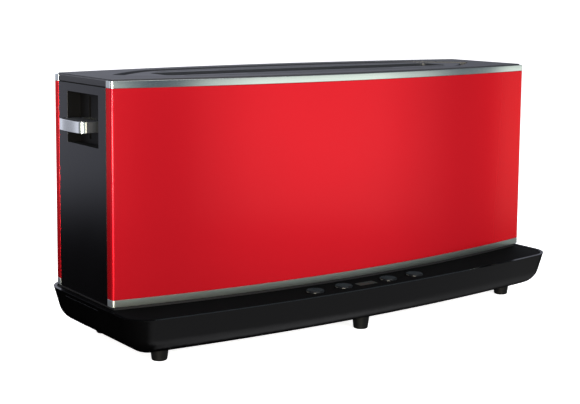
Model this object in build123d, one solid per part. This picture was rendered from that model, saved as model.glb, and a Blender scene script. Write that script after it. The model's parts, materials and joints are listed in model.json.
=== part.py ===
from build123d import *
import math
import os

# Long-slot pop-up toaster in millimetres. +X runs along the body towards the end without the lever,
# -Y is the front with the buttons, and z = 0 is the surface that the feet stand on.
# Each function makes one piece about the body's own centre line. The origin of the written files is
# the middle of the whole footprint, lever and base included.

# ---------------------------------------------------------------- body
BODY_LENGTH = 400.0
BODY_END_DEPTH = 88.0
BODY_BOW = 20.0
BODY_CORNER = 2.5
SHEET = 1.2
PANEL_RETURN = 7.0
PANEL_HEIGHT = 147.0
TOP_TRIM_HEIGHT = 5.0
BOTTOM_TRIM_HEIGHT = 5.0
TRIM_THICKNESS = 2.0
CAP_WALL = 2.5
CAP_FLANGE = 32.0
COVER_THICKNESS = 2.5
COVER_RISE = 1.0
COVER_EASE = 0.5
COVER_GROOVE_HEIGHT = 0.6
COVER_GROOVE_DEPTH = 1.5
FLOOR_INSET = 2.4
GAP = 0.3

# ---------------------------------------------------------------- base
FOOT_HEIGHT = 9.7
FOOT_TOP_RADIUS = 6.9
FOOT_BOTTOM_RADIUS = 5.5
FOOT_SOCKET = 1.5
FOOT_EASE = 1.2
FOOT_END_INSET = 34.5
FOOT_FRONT_INSET = 25.5
FOOT_BACK_INSET = 28.0
FOOT_MIDDLE_INSET = 24.0
BASE_HEIGHT = 27.3
BASE_REACH = 3.5
BASE_FRONT = 80.5
BASE_FRONT_BOW = 14.5
BASE_BACK = 57.0
BASE_BACK_BOW = 12.0
BASE_CORNER = 22.0
BASE_LEAN = 15.5
BASE_ROUND = 17.0
BASE_WALL = 2.5
LIP_HEIGHT = 0.6
DECK_THICKNESS = 2.4
BODY_LIFT = 2.6
POST_X = 125.0
POST_FRONT_INSET = 16.0
POST_BACK_INSET = 22.0
POST_RADIUS = 4.5
SCREW_RADIUS = 1.8
SCREW_HEAD_RADIUS = 3.2
SCREW_HEAD_HEIGHT = 1.8
SCREW_SEAT = 5.0
SCREW_BITE = 1.6
VENT_COUNT = 9
VENT_PITCH = 25.0
VENT_LENGTH = 16.0
VENT_WIDTH = 3.0

# ---------------------------------------------------------------- top opening and rack
EYE_SETBACK = 24.0
EYE_SWEEP = 75.0
EYE_SHOULDER = 60.0
RIM_WIDTH = 18.0
COLLAR = 2.0
RACK_GAP = 6.0
RACK_DROP = 0.8
RACK_THICKNESS = 3.0
RACK_SLOT_WIDTH = 2.6
RACK_GAPS = 2
RACK_LAND = 4.0
RACK_END = 48.0
RACK_LEG = 3.0
RACK_LEG_X = 45.0
SLOT_SETBACK = 21.0
SLOT_HALF_WIDTH = 15.0
SLOT_CORNER = 6.0

# ---------------------------------------------------------------- toasting chamber
CHAMBER_SHEET = 1.0
CHAMBER_TOP_GAP = 2.0
BULKHEAD_FLANGE = 8.0
BULKHEAD_MARGIN = 3.0
REFLECTOR_SETBACK = 7.0
REFLECTOR_SHEET = 0.6
REFLECTOR_TURN = 4.0
ELEMENT_SETBACK = 7.4
ELEMENT_THICKNESS = 1.2
ELEMENT_BOTTOM = 16.0
ELEMENT_HEIGHT = 116.0
NOTCH_COUNT = 10
NOTCH_END = 24.0
NOTCH_HALF_WIDTH = 4.0
NOTCH_DEPTH = 2.0
RIBBON_HEIGHT = 2.4
RIBBON_THICKNESS = 0.4
RIBBON_PITCH = 12.0
RIBBON_EDGE = 8.0
RIBBON_END = 12.0
GUARD_SETBACK = 3.6
GUARD_WIRE = 1.8
GUARD_PITCH = 23.0
GUARD_RAIL = 5.0
GUARD_FOOT = 8.0
CRUMB_SETBACK = 9.0
CRUMB_HALF_WIDTH = 17.0

# ---------------------------------------------------------------- lift
ROD_RADIUS = 3.0
ROD_Y = 13.0
RUNNING = 0.06
BUSH_RADIUS = 5.5
BUSH_HEIGHT = 22.0
BUSH_BITE = 1.0
BUSH_GAP = 2.5
LIFT = 52.5
LEVER_TRAVEL = 15.0
ROCKER_INNER = 14.0
ROCKER_THICKNESS = 2.0
ROCKER_HALF_WIDTH = 4.0
ROCKER_GAP = 4.5
ROCKER_PIVOT_Y = -26.0
ROCKER_PIN_RADIUS = 2.0
PIN_DROP = 8.0
PIN_END = 0.5
PIN_PLAY = 0.75
PIVOT_RADIUS = 3.0
PIVOT_HUB = 2.5
PIVOT_SHOULDER = 1.5
BRACKET_GAP = 4.0
BRACKET_THICKNESS = 2.0
BRACKET_HEIGHT = 52.0
BRACKET_BACK_Y = 31.0
BRACKET_MARGIN = 6.0
SPINE_THICKNESS = 1.6
SPINE_HEIGHT = 12.0
SPINE_GAP = 1.0
CARRIAGE_BOTTOM = 23.0
CROSS_WIRE = 2.4
CROSS_HALF_WIDTH = 13.0
CROSS_PITCH = 12.0
CROSS_END = 8.0
SPRING_WIRE = 0.5
SPRING_RADIUS = 2.6
SPRING_TURNS = 12
SPRING_Y = 25.0
SPRING_TAB_HALF = 3.0
SPRING_TAB_HEIGHT = 38.0
SPRING_TAB_THICKNESS = 2.0
SPRING_OUT = 4.0
SPRING_TOP_DROP = 6.0
MAGNET_HALF_WIDTH = 7.0
MAGNET_REACH = 4.0
MAGNET_POLE = 3.0
MAGNET_COIL_RADIUS = 3.4
ARMATURE_THICKNESS = 2.0

# ---------------------------------------------------------------- lever and its recess
RECESS_CENTRE_Y = -1.5
RECESS_WIDTH = 48.0
RECESS_BOTTOM = 109.0
RECESS_HEIGHT = 37.0
RECESS_DEPTH = 10.0
RECESS_WALL = 2.0
LEVER_HEIGHT = 8.4
LEVER_ABOVE_RECESS = 10.4
LEVER_WIDTH = 40.0
LEVER_REACH = 13.0
LEVER_INSIDE = 4.0
LEVER_BOW = 1.6
LEVER_CORNER = 4.0
LEVER_BAND = 2.0
LEVER_SHOULDER = 1.0
GRIP_EDGE = 0.4
GRIP_WALL = 3.0
GRIP_ROOF = 2.4
BLADE_Y = 6.5
BLADE_THICKNESS = 2.0
BLADE_EDGE = 0.2
BLADE_SLOT = 3.0
BLADE_SLOT_BELOW = 7.4
SLIDE_GAP = 1.0
SLIDER_THICKNESS = 2.0
SLIDER_HALF_HEIGHT = 5.0
SLIDER_LEFT = 26.0
SLIDER_STRIP = 14.0
SLIDER_RIGHT = 4.0
LEVER_ROD_RADIUS = 2.0
LEVER_ROD_Y = 17.0
LEVER_ROD_BACK = 4.0
LEVER_LUG_REACH = 7.0
LEVER_LUG_THICKNESS = 3.0
LEVER_LUG_HALF_WIDTH = 5.0
LEVER_LUG_BELOW = 14.0
LEVER_LUG_GAP = 0.6
LEVER_BUSH_HALF_HEIGHT = 5.0
LEVER_BUSH_HALF_WIDTH = 4.0

# ---------------------------------------------------------------- controls on the base
CONTROL_X = 0.0
CONTROL_Y = -77.0
BUTTON_SPACING = 27.0
BUTTON_OFFSET = 22.0
BUTTON_RADIUS = 7.0
BUTTON_STAND = 1.5
BUTTON_TRAVEL = 1.2
BUTTON_CLEARANCE = 0.3
BUTTON_FLANGE = 1.0
BUTTON_FLANGE_REACH = 1.5
BUTTON_STEM = 1.5
BUTTON_STEM_RADIUS = 2.2
WINDOW_LENGTH = 18.0
WINDOW_WIDTH = 9.0
WINDOW_CORNER = 1.5
WINDOW_CLEARANCE = 0.2
MODULE_MARGIN = 1.0
BOARD_THICKNESS = 1.6
BOARD_END = 14.0
BOARD_FRONT = 7.0
BOARD_BACK = 8.0
BOARD_LEG = 3.0
SWITCH_SIZE = 6.0
SWITCH_HEIGHT = 2.6

# ---------------------------------------------------------------- supply board at the plain end
SUPPLY_GAP = 6.0
SUPPLY_HALF_WIDTH = 26.0
SUPPLY_HEIGHT = 84.0
RELAY_SIZE = 16.0
RELAY_DEPTH = 11.0
RELAY_HEIGHT = 28.0
RELAY_BOTTOM = 40.0
CAPACITOR_RADIUS = 6.0
CAPACITOR_LENGTH = 12.0
TERMINAL_HALF_WIDTH = 18.0
TERMINAL_DEPTH = 8.0
TERMINAL_BOTTOM = 12.0
TERMINAL_HEIGHT = 10.0

# ---------------------------------------------------------------- crumb tray
TRAY_CENTRE_Y = -1.3
TRAY_WIDTH = 52.5
TRAY_TOP = 2.6
TRAY_DEPTH = 20.5
TRAY_CLEARANCE = 0.4
PAN_SHEET = 0.8
PAN_DEPTH = 9.0
PAN_LIFT = 5.8
PAN_CLEARANCE = 1.2
PAN_OVERRUN = 4.0
RUNNER_INSET = 4.0
RUNNER_THICKNESS = 2.0
RUNNER_START = 22.0
FINGER_WIDTH = 26.0
FINGER_HEIGHT = 3.6

# ---------------------------------------------------------------- heights worked out from the above
BASE_Z = FOOT_HEIGHT
LIP_Z = BASE_Z + BASE_HEIGHT
DECK_Z = LIP_Z - LIP_HEIGHT
DECK_UNDER_Z = DECK_Z - DECK_THICKNESS
BODY_Z = DECK_Z + BODY_LIFT
PANEL_Z = BODY_Z + BOTTOM_TRIM_HEIGHT
TRIM_Z = PANEL_Z + PANEL_HEIGHT
TRIM_TOP_Z = TRIM_Z + TOP_TRIM_HEIGHT
TOP_Z = TRIM_TOP_Z + COVER_RISE
LID_Z = TRIM_Z - CHAMBER_TOP_GAP - CHAMBER_SHEET
RECESS_Z = BODY_Z + RECESS_BOTTOM
LEVER_Z = RECESS_Z + LEVER_ABOVE_RECESS + LEVER_HEIGHT / 2
CARRIAGE_Z = BODY_Z + CARRIAGE_BOTTOM
PAN_Z = BASE_Z + PAN_LIFT

# ---------------------------------------------------------------- places along the body, from its end inwards
HALF_LENGTH = BODY_LENGTH / 2
BASE_HALF_LENGTH = HALF_LENGTH + BASE_REACH
RECESS_BACK_X = HALF_LENGTH - RECESS_DEPTH - RECESS_WALL
SLIDE_X = RECESS_BACK_X - SLIDE_GAP
ROCKER_X = SLIDE_X - SLIDER_THICKNESS - ROCKER_GAP
BRACKET_X = ROCKER_X - ROCKER_THICKNESS - BRACKET_GAP
ROD_X = BRACKET_X - BRACKET_THICKNESS + BUSH_BITE - BUSH_RADIUS
CHAMBER_HALF_LENGTH = ROD_X - BUSH_RADIUS - BUSH_GAP - CHAMBER_SHEET
SLOT_HALF_LENGTH = CHAMBER_HALF_LENGTH - SLOT_SETBACK
CRUMB_HALF_LENGTH = CHAMBER_HALF_LENGTH - CRUMB_SETBACK
EYE_HALF_LENGTH = HALF_LENGTH - EYE_SETBACK

# ---------------------------------------------------------------- places across the body, from the slot outwards
END_HALF_WIDTH = BODY_END_DEPTH / 2 - PANEL_RETURN
GUARD_Y = SLOT_HALF_WIDTH + GUARD_SETBACK
ELEMENT_Y = GUARD_Y + ELEMENT_SETBACK
REFLECTOR_Y = ELEMENT_Y + REFLECTOR_SETBACK
BULKHEAD_HALF_DEPTH = REFLECTOR_Y + BULKHEAD_MARGIN

# ---------------------------------------------------------------- the lift's lever ratio
LIFT_RATIO = LIFT / LEVER_TRAVEL
ROCKER_OUTER = ROCKER_INNER * LIFT_RATIO
ROCKER_ANGLE = math.degrees(math.asin(LEVER_TRAVEL / 2 / ROCKER_INNER))

ORIGIN_X = (BASE_REACH - LEVER_REACH) / 2
ORIGIN_Y = (BASE_BACK + BASE_BACK_BOW - BASE_FRONT - BASE_FRONT_BOW) / 2


def block(x0, x1, y0, y1, z0, z1):
    """A box between two corners."""
    return Pos((x0 + x1) / 2, (y0 + y1) / 2, (z0 + z1) / 2) * Box(x1 - x0, y1 - y0, z1 - z0)


def rod(x, y, z0, z1, radius):
    """An upright cylinder."""
    return Pos(x, y, (z0 + z1) / 2) * Cylinder(radius, z1 - z0)


def rod_along_x(x0, x1, y, z, radius):
    """A cylinder that lies along X."""
    return Pos((x0 + x1) / 2, y, z) * Rot(0, 90, 0) * Cylinder(radius, x1 - x0)


def rod_along_y(x, y0, y1, z, radius):
    """A cylinder that lies along Y."""
    return Pos(x, (y0 + y1) / 2, z) * Rot(90, 0, 0) * Cylinder(radius, y1 - y0)


def bowed_disc(depth, bow, half_length, inset, side):
    """The disc whose edge is the bowed front (side -1) or back (side 1)."""
    radius = (half_length**2 + bow**2) / (2 * bow)
    return Pos(0, side * (depth + bow - radius)) * Circle(radius - inset)


def body_outline(inset):
    """Plan outline of the body, moved inwards by inset."""
    depth = BODY_END_DEPTH / 2
    band = Rectangle(BODY_LENGTH - 2 * inset, 4 * BODY_END_DEPTH)
    outline = band & bowed_disc(depth, BODY_BOW, HALF_LENGTH, inset, -1)
    outline = outline & bowed_disc(depth, BODY_BOW, HALF_LENGTH, inset, 1)
    return fillet(outline.vertices(), max(BODY_CORNER - inset, 0.8))


def base_outline(inset):
    """Plan outline of the base, moved inwards by inset."""
    band = Rectangle(2 * (BASE_HALF_LENGTH - inset), 4 * BASE_FRONT)
    outline = band & bowed_disc(BASE_FRONT, BASE_FRONT_BOW, BASE_HALF_LENGTH, inset, -1)
    outline = outline & bowed_disc(BASE_BACK, BASE_BACK_BOW, BASE_HALF_LENGTH, inset, 1)
    return fillet(outline.vertices(), BASE_CORNER - inset)


def eye(inset):
    """Outline of the top opening, moved inwards by inset: an even rim that sweeps in to a point."""
    radius = (EYE_HALF_LENGTH**2 + EYE_SWEEP**2) / (2 * EYE_SWEEP)
    depth = BODY_END_DEPTH / 2
    outline = Rectangle(BODY_LENGTH, 2 * BODY_END_DEPTH)
    for side in (-1, 1):
        outline = outline & bowed_disc(depth, BODY_BOW, HALF_LENGTH, RIM_WIDTH + inset, side)
        outline = outline & (Pos(0, side * (EYE_SWEEP - radius)) * Circle(radius - inset))
    shoulders = [corner for corner in outline.vertices() if abs(corner.Y) > 1]
    return fillet(shoulders, EYE_SHOULDER - inset)


def slab(outline, z0, z1):
    """A flat outline made solid between two heights."""
    return Pos(0, 0, z0) * extrude(outline, z1 - z0)


def ring(thickness, z0, z1, side):
    """The wrapped wall on one side of the body, with its short returns round both ends."""
    wall = slab(body_outline(0), z0, z1) - slab(body_outline(thickness), z0 - 1, z1 + 1)
    near = END_HALF_WIDTH
    far = BODY_END_DEPTH / 2 + BODY_BOW + 1
    keep = block(-HALF_LENGTH - 1, HALF_LENGTH + 1, min(side * near, side * far),
                 max(side * near, side * far), z0, z1)
    return wall & keep


def panel(side):
    return ring(SHEET, PANEL_Z, TRIM_Z, side)


def top_trim(side):
    return ring(TRIM_THICKNESS, TRIM_Z, TRIM_TOP_Z, side)


def bottom_trim(side):
    return ring(TRIM_THICKNESS, BODY_Z, PANEL_Z, side)


def end_cap(side):
    """A moulded end: a flush face between the panels and a wall that runs on behind them."""
    inset = TRIM_THICKNESS + GAP
    outer = slab(body_outline(inset), BODY_Z, TRIM_Z)
    inner = slab(body_outline(inset + CAP_WALL), BODY_Z - 1, TRIM_Z + 1)
    flange_x = HALF_LENGTH - CAP_FLANGE
    keep = block(flange_x, HALF_LENGTH, -BODY_LENGTH, BODY_LENGTH, BODY_Z, TRIM_Z)
    cap = (outer - inner) & keep
    face_back = HALF_LENGTH - inset - CAP_WALL
    half = END_HALF_WIDTH - GAP
    cap += block(face_back, HALF_LENGTH, -half, half, BODY_Z, TRIM_Z)
    if side > 0:
        return cap
    cap = mirror(cap, about=Plane.YZ)
    y0 = RECESS_CENTRE_Y - RECESS_WIDTH / 2
    y1 = RECESS_CENTRE_Y + RECESS_WIDTH / 2
    z0 = RECESS_Z
    z1 = RECESS_Z + RECESS_HEIGHT
    pocket_x = -HALF_LENGTH + RECESS_DEPTH
    back_x = -RECESS_BACK_X
    cap += block(-HALF_LENGTH + inset, back_x, y0 - RECESS_WALL, y1 + RECESS_WALL,
                 z0 - RECESS_WALL, z1 + RECESS_WALL)
    cap -= block(-HALF_LENGTH - 1, pocket_x, y0, y1, z0, z1)
    slot_z0 = LEVER_Z - LEVER_HEIGHT / 2 - BLADE_SLOT_BELOW
    slot_z1 = LEVER_Z + LEVER_HEIGHT / 2 + LEVER_TRAVEL
    cap -= block(pocket_x - 1, back_x + 1, BLADE_Y - BLADE_SLOT / 2, BLADE_Y + BLADE_SLOT / 2,
                 slot_z0, slot_z1)
    for lug_z in lever_lug_heights():
        lug = block(back_x - 0.5, back_x + LEVER_LUG_REACH, LEVER_ROD_Y - LEVER_LUG_HALF_WIDTH,
                    LEVER_ROD_Y + LEVER_LUG_HALF_WIDTH, lug_z, lug_z + LEVER_LUG_THICKNESS)
        cap += lug - rod(lever_rod_x(), LEVER_ROD_Y, lug_z - 1, lug_z + LEVER_LUG_THICKNESS + 1,
                         LEVER_ROD_RADIUS)
    return cap


def lever_rod_x():
    """The lever's rod stands just behind the recess."""
    return -RECESS_BACK_X + LEVER_ROD_BACK


def lever_lug_heights():
    """Undersides of the two lugs that hold the lever's rod, below and above its travel."""
    lower = LEVER_Z - LEVER_LUG_BELOW
    upper = LEVER_Z + LEVER_BUSH_HALF_HEIGHT + LEVER_TRAVEL + LEVER_LUG_GAP
    return [lower, upper]


def lever_rod():
    lower, upper = lever_lug_heights()
    return rod(lever_rod_x(), LEVER_ROD_Y, lower, upper + LEVER_LUG_THICKNESS, LEVER_ROD_RADIUS)


def lever_outline(outer_x, inner_x, half_width, corner):
    """Plan of the lever's grip: a bowed outer face with rounded corners."""
    y0 = RECESS_CENTRE_Y - half_width
    y1 = RECESS_CENTRE_Y + half_width
    shoulder = outer_x + LEVER_BOW
    bow = ThreePointArc((shoulder, y0), (outer_x, RECESS_CENTRE_Y), (shoulder, y1))
    sides = Polyline((shoulder, y1), (inner_x, y1), (inner_x, y0), (shoulder, y0))
    outline = make_face([bow, sides])
    corners = outline.vertices().sort_by(Axis.X)[:2]
    return fillet(corners, corner)


def lever_shoulder_x():
    """Where the band's two ends stop against the grip's shoulders."""
    return -HALF_LENGTH - LEVER_REACH + LEVER_BOW + LEVER_CORNER + LEVER_SHOULDER


def lever_band():
    """The bright strip that wraps the grip's outer face."""
    outer_x = -HALF_LENGTH - LEVER_REACH
    z0 = LEVER_Z - LEVER_HEIGHT / 2
    z1 = LEVER_Z + LEVER_HEIGHT / 2
    inner_x = lever_shoulder_x()
    outer = lever_outline(outer_x, inner_x, LEVER_WIDTH / 2, LEVER_CORNER)
    inner = lever_outline(outer_x + LEVER_BAND, inner_x + 1, LEVER_WIDTH / 2 - LEVER_BAND,
                          LEVER_CORNER - LEVER_BAND)
    return slab(outer, z0, z1) - slab(inner, z0 - 1, z1 + 1)


def lever_grip():
    """The moulded grip behind the band, with its hollow underside."""
    outer_x = -HALF_LENGTH - LEVER_REACH
    inner_x = -HALF_LENGTH + LEVER_INSIDE
    z0 = LEVER_Z - LEVER_HEIGHT / 2
    z1 = LEVER_Z + LEVER_HEIGHT / 2
    core = lever_outline(outer_x + LEVER_BAND, inner_x, LEVER_WIDTH / 2 - LEVER_BAND,
                         LEVER_CORNER - LEVER_BAND)
    shoulder_x = lever_shoulder_x()
    shoulder = Pos((shoulder_x + inner_x) / 2, RECESS_CENTRE_Y) * Rectangle(inner_x - shoulder_x,
                                                                         LEVER_WIDTH)
    grip = slab(core + shoulder, z0 + GRIP_EDGE, z1 - GRIP_EDGE)
    hollow = block(outer_x + LEVER_BAND + LEVER_BOW + GRIP_WALL, inner_x - GRIP_WALL,
                   RECESS_CENTRE_Y - LEVER_WIDTH / 2 + GRIP_WALL, BLADE_Y - GRIP_WALL, z0 - 1,
                   z1 - GRIP_ROOF)
    return grip - hollow


def lever_slider():
    """The steel slide behind the recess: blade to the grip, bush on its rod, slotted drop strip."""
    plate_x0 = -SLIDE_X
    plate_x1 = plate_x0 + SLIDER_THICKNESS
    half = LEVER_HEIGHT / 2 - BLADE_EDGE
    blade = block(-HALF_LENGTH + LEVER_INSIDE, plate_x0 + 0.1, BLADE_Y - BLADE_THICKNESS / 2,
                  BLADE_Y + BLADE_THICKNESS / 2, LEVER_Z - half, LEVER_Z + half)
    pin_z = rocker_pivot_z() - LEVER_TRAVEL / 2
    z0 = LEVER_Z - SLIDER_HALF_HEIGHT
    z1 = LEVER_Z + SLIDER_HALF_HEIGHT
    left_y = BLADE_Y - SLIDER_LEFT
    plate = block(plate_x0, plate_x1, left_y, BLADE_Y + SLIDER_RIGHT, z0, z1)
    strip = block(plate_x0, plate_x1, left_y, left_y + SLIDER_STRIP, pin_z - SLIDER_STRIP / 2, LEVER_Z)
    bush_z0 = LEVER_Z - LEVER_BUSH_HALF_HEIGHT
    bush_z1 = LEVER_Z + LEVER_BUSH_HALF_HEIGHT
    bush_y0 = LEVER_ROD_Y - LEVER_BUSH_HALF_WIDTH
    bush = block(plate_x0, -RECESS_BACK_X + LEVER_LUG_REACH, bush_y0, LEVER_ROD_Y + LEVER_BUSH_HALF_WIDTH,
                 bush_z0, bush_z1)
    neck = block(plate_x0, plate_x1, BLADE_Y + SLIDER_RIGHT - 1, bush_y0 + 1, z0, z1)
    slider = blade + plate + strip + bush + neck
    slider -= rod(lever_rod_x(), LEVER_ROD_Y, bush_z0 - 1, bush_z1 + 1, LEVER_ROD_RADIUS + RUNNING)
    slot_half = ROCKER_PIN_RADIUS + PIN_PLAY
    y_in = ROCKER_PIVOT_Y + ROCKER_INNER * math.cos(math.radians(ROCKER_ANGLE))
    y_out = ROCKER_PIVOT_Y + ROCKER_INNER
    slider -= block(plate_x0 - 1, plate_x1 + 1, y_in - slot_half, y_out + slot_half,
                    pin_z - slot_half, pin_z + slot_half)
    return slider


def rocker_pivot_z():
    """The pivot lies half way up both pins' travel."""
    return CARRIAGE_Z + BRACKET_HEIGHT - PIN_DROP + LIFT / 2


def rocker():
    """The arm that turns the lever's short stroke into the carriage's long one."""
    x0 = -ROCKER_X
    x1 = x0 + ROCKER_THICKNESS
    arm = block(x0, x1, 0, ROCKER_OUTER, -ROCKER_HALF_WIDTH, ROCKER_HALF_WIDTH)
    arm += rod_along_x(x0, x1, ROCKER_OUTER, 0, ROCKER_HALF_WIDTH)
    arm += rod_along_x(x0, x1 + PIVOT_SHOULDER, 0, 0, PIVOT_RADIUS + PIVOT_HUB)
    arm += rod_along_x(-SLIDE_X - PIN_END, x1, ROCKER_INNER, 0, ROCKER_PIN_RADIUS)
    arm += rod_along_x(x0, -BRACKET_X + BRACKET_THICKNESS + PIN_END, ROCKER_OUTER, 0, ROCKER_PIN_RADIUS)
    arm -= rod_along_x(x0 - 1, x1 + PIVOT_SHOULDER + 1, 0, 0, PIVOT_RADIUS + RUNNING)
    turned = Rot(-ROCKER_ANGLE, 0, 0) * arm
    return Pos(0, ROCKER_PIVOT_Y, rocker_pivot_z()) * turned


def carriage_bracket():
    """The plate that rides on the two rods, takes the rocker's long pin and holds the spring's tab."""
    x0 = -BRACKET_X
    x1 = x0 + BRACKET_THICKNESS
    z0 = CARRIAGE_Z
    bracket = block(x0, x1, -ROD_Y - BRACKET_MARGIN, BRACKET_BACK_Y, z0, z0 + BRACKET_HEIGHT)
    for y in (-ROD_Y, ROD_Y):
        bracket += rod(-ROD_X, y, z0, z0 + BUSH_HEIGHT, BUSH_RADIUS)
        bracket -= rod(-ROD_X, y, z0 - 1, z0 + BUSH_HEIGHT + 1, ROD_RADIUS + RUNNING)
    tab_z = z0 + SPRING_TAB_HEIGHT
    bracket += block(x1 - 0.1, x1 + SPRING_OUT + SPRING_TAB_HALF, SPRING_Y - SPRING_TAB_HALF,
                     SPRING_Y + SPRING_TAB_HALF, tab_z, tab_z + SPRING_TAB_THICKNESS)
    pin_z = rocker_pivot_z() - LIFT / 2
    slot_half = ROCKER_PIN_RADIUS + PIN_PLAY
    y_in = ROCKER_PIVOT_Y + ROCKER_OUTER * math.cos(math.radians(ROCKER_ANGLE))
    y_out = ROCKER_PIVOT_Y + ROCKER_OUTER
    bracket -= block(x0 - 1, x1 + 1, y_in - slot_half, y_out + slot_half,
                     pin_z - slot_half, pin_z + slot_half)
    return bracket


def magnet_span():
    """The latch magnet and its keeper reach from just outside the bracket to the rods."""
    return -BRACKET_X - MAGNET_REACH, -ROD_X + MAGNET_REACH / 2


def armature():
    """The soft-iron keeper under the bracket that the latch magnet holds."""
    x0, x1 = magnet_span()
    return block(x0, x1, -MAGNET_HALF_WIDTH, MAGNET_HALF_WIDTH, CARRIAGE_Z - ARMATURE_THICKNESS,
                 CARRIAGE_Z)


def latch_magnet():
    """U-core and coil of the latch, standing on the body's floor."""
    x0, x1 = magnet_span()
    half = MAGNET_HALF_WIDTH
    top = CARRIAGE_Z - ARMATURE_THICKNESS - GAP
    core = block(x0, x1, -half, half, BODY_Z, BODY_Z + MAGNET_POLE)
    for x in (x0, x1 - MAGNET_POLE):
        core += block(x, x + MAGNET_POLE, -half, half, BODY_Z, top)
    return core + rod((x0 + x1) / 2, 0, BODY_Z, top - MAGNET_POLE / 2, MAGNET_COIL_RADIUS)


def bread_rack():
    """The spine with cross wires that carries the bread, reaching through both bulkheads."""
    x0 = -BRACKET_X + BRACKET_THICKNESS
    x1 = ROD_X - BUSH_RADIUS + BUSH_BITE / 2
    half = SPINE_THICKNESS / 2
    rack = block(x0, x1, -half, half, CARRIAGE_Z, CARRIAGE_Z + SPINE_HEIGHT)
    count = int(2 * (CRUMB_HALF_LENGTH - CROSS_END) / CROSS_PITCH)
    z = CARRIAGE_Z + SPINE_HEIGHT - CROSS_WIRE / 4
    for i in range(count + 1):
        x = (i - count / 2) * CROSS_PITCH
        rack += rod_along_y(x, -CROSS_HALF_WIDTH, CROSS_HALF_WIDTH, z, CROSS_WIRE / 2)
    return rack


def right_bush():
    """The bush at the far end of the bread rack, on its own rod."""
    bush = rod(ROD_X, 0, CARRIAGE_Z, CARRIAGE_Z + BUSH_HEIGHT, BUSH_RADIUS)
    bush -= rod(ROD_X, 0, CARRIAGE_Z - 1, CARRIAGE_Z + BUSH_HEIGHT + 1, ROD_RADIUS + RUNNING)
    slot = block(ROD_X - BUSH_RADIUS - 1, ROD_X - BUSH_RADIUS + BUSH_BITE / 2, -SPINE_THICKNESS / 2,
                 SPINE_THICKNESS / 2, CARRIAGE_Z - 1, CARRIAGE_Z + SPINE_HEIGHT)
    return bush - slot


def guide_rods():
    """The two rods at the lever's end."""
    return Compound([rod(-ROD_X, -ROD_Y, BODY_Z, LID_Z, ROD_RADIUS),
                     rod(-ROD_X, ROD_Y, BODY_Z, LID_Z, ROD_RADIUS)])


def right_guide_rod():
    return rod(ROD_X, 0, BODY_Z, LID_Z, ROD_RADIUS)


def return_spring():
    """The extension spring that raises the carriage, stretched while the carriage is latched."""
    z0 = CARRIAGE_Z + SPRING_TAB_HEIGHT + SPRING_TAB_THICKNESS + SPRING_WIRE + GAP
    z1 = LID_Z - SPRING_TOP_DROP - SPRING_WIRE - GAP
    path = Helix(pitch=(z1 - z0) / SPRING_TURNS, height=z1 - z0, radius=SPRING_RADIUS)
    start = path @ 0
    profile = Plane(origin=start, z_dir=path % 0) * Circle(SPRING_WIRE)
    coil = sweep(profile, path=path)
    return Pos(-BRACKET_X + BRACKET_THICKNESS + SPRING_OUT, SPRING_Y, z0) * coil


def bulkhead(side):
    """A sheet-steel end of the toasting chamber, slotted for the spine of the bread rack."""
    x0 = min(side * CHAMBER_HALF_LENGTH, side * (CHAMBER_HALF_LENGTH + CHAMBER_SHEET))
    x1 = x0 + CHAMBER_SHEET
    plate = block(x0, x1, -BULKHEAD_HALF_DEPTH, BULKHEAD_HALF_DEPTH, BODY_Z, LID_Z)
    slot_half = SPINE_THICKNESS / 2 + SPINE_GAP
    plate -= block(x0 - 1, x1 + 1, -slot_half, slot_half, CARRIAGE_Z - 2 * SPINE_GAP,
                   CARRIAGE_Z + SPINE_HEIGHT + LIFT + 2 * SPINE_GAP)
    for y in (-1, 1):
        edge = y * BULKHEAD_HALF_DEPTH
        flange_y0 = min(edge, edge - y * CHAMBER_SHEET)
        plate += block(min(x0, x0 + side * BULKHEAD_FLANGE), max(x1, x1 + side * BULKHEAD_FLANGE),
                       flange_y0, flange_y0 + CHAMBER_SHEET, BODY_Z, LID_Z)
    if side > 0:
        return plate
    stud_x = -ROCKER_X + ROCKER_THICKNESS + PIVOT_SHOULDER + PIN_END
    plate += rod_along_x(-ROCKER_X - PIN_END, x0 + 0.1, ROCKER_PIVOT_Y, rocker_pivot_z(), PIVOT_RADIUS)
    plate += rod_along_x(stud_x, x0 + 0.1, ROCKER_PIVOT_Y, rocker_pivot_z(), PIVOT_RADIUS + PIVOT_SHOULDER)
    tab_x = -BRACKET_X + BRACKET_THICKNESS + SPRING_OUT - SPRING_TAB_HALF + GAP
    tab_z = LID_Z - SPRING_TOP_DROP
    return plate + block(tab_x, x0 + 0.1, SPRING_Y - SPRING_TAB_HALF, SPRING_Y + SPRING_TAB_HALF,
                         tab_z, tab_z + CHAMBER_SHEET)


def reflector(side):
    """The bright sheet behind a heating element, its edges turned in at top and bottom."""
    y = side * REFLECTOR_Y
    y1 = y + side * REFLECTOR_SHEET
    x = CHAMBER_HALF_LENGTH - GAP
    z0 = BODY_Z
    z1 = LID_Z - GAP
    sheet = block(-x, x, min(y, y1), max(y, y1), z0, z1)
    for z in (z0, z1 - REFLECTOR_SHEET):
        turn_y = y - side * REFLECTOR_TURN
        sheet += block(-x, x, min(y1, turn_y), max(y1, turn_y), z, z + REFLECTOR_SHEET)
    return sheet


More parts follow.
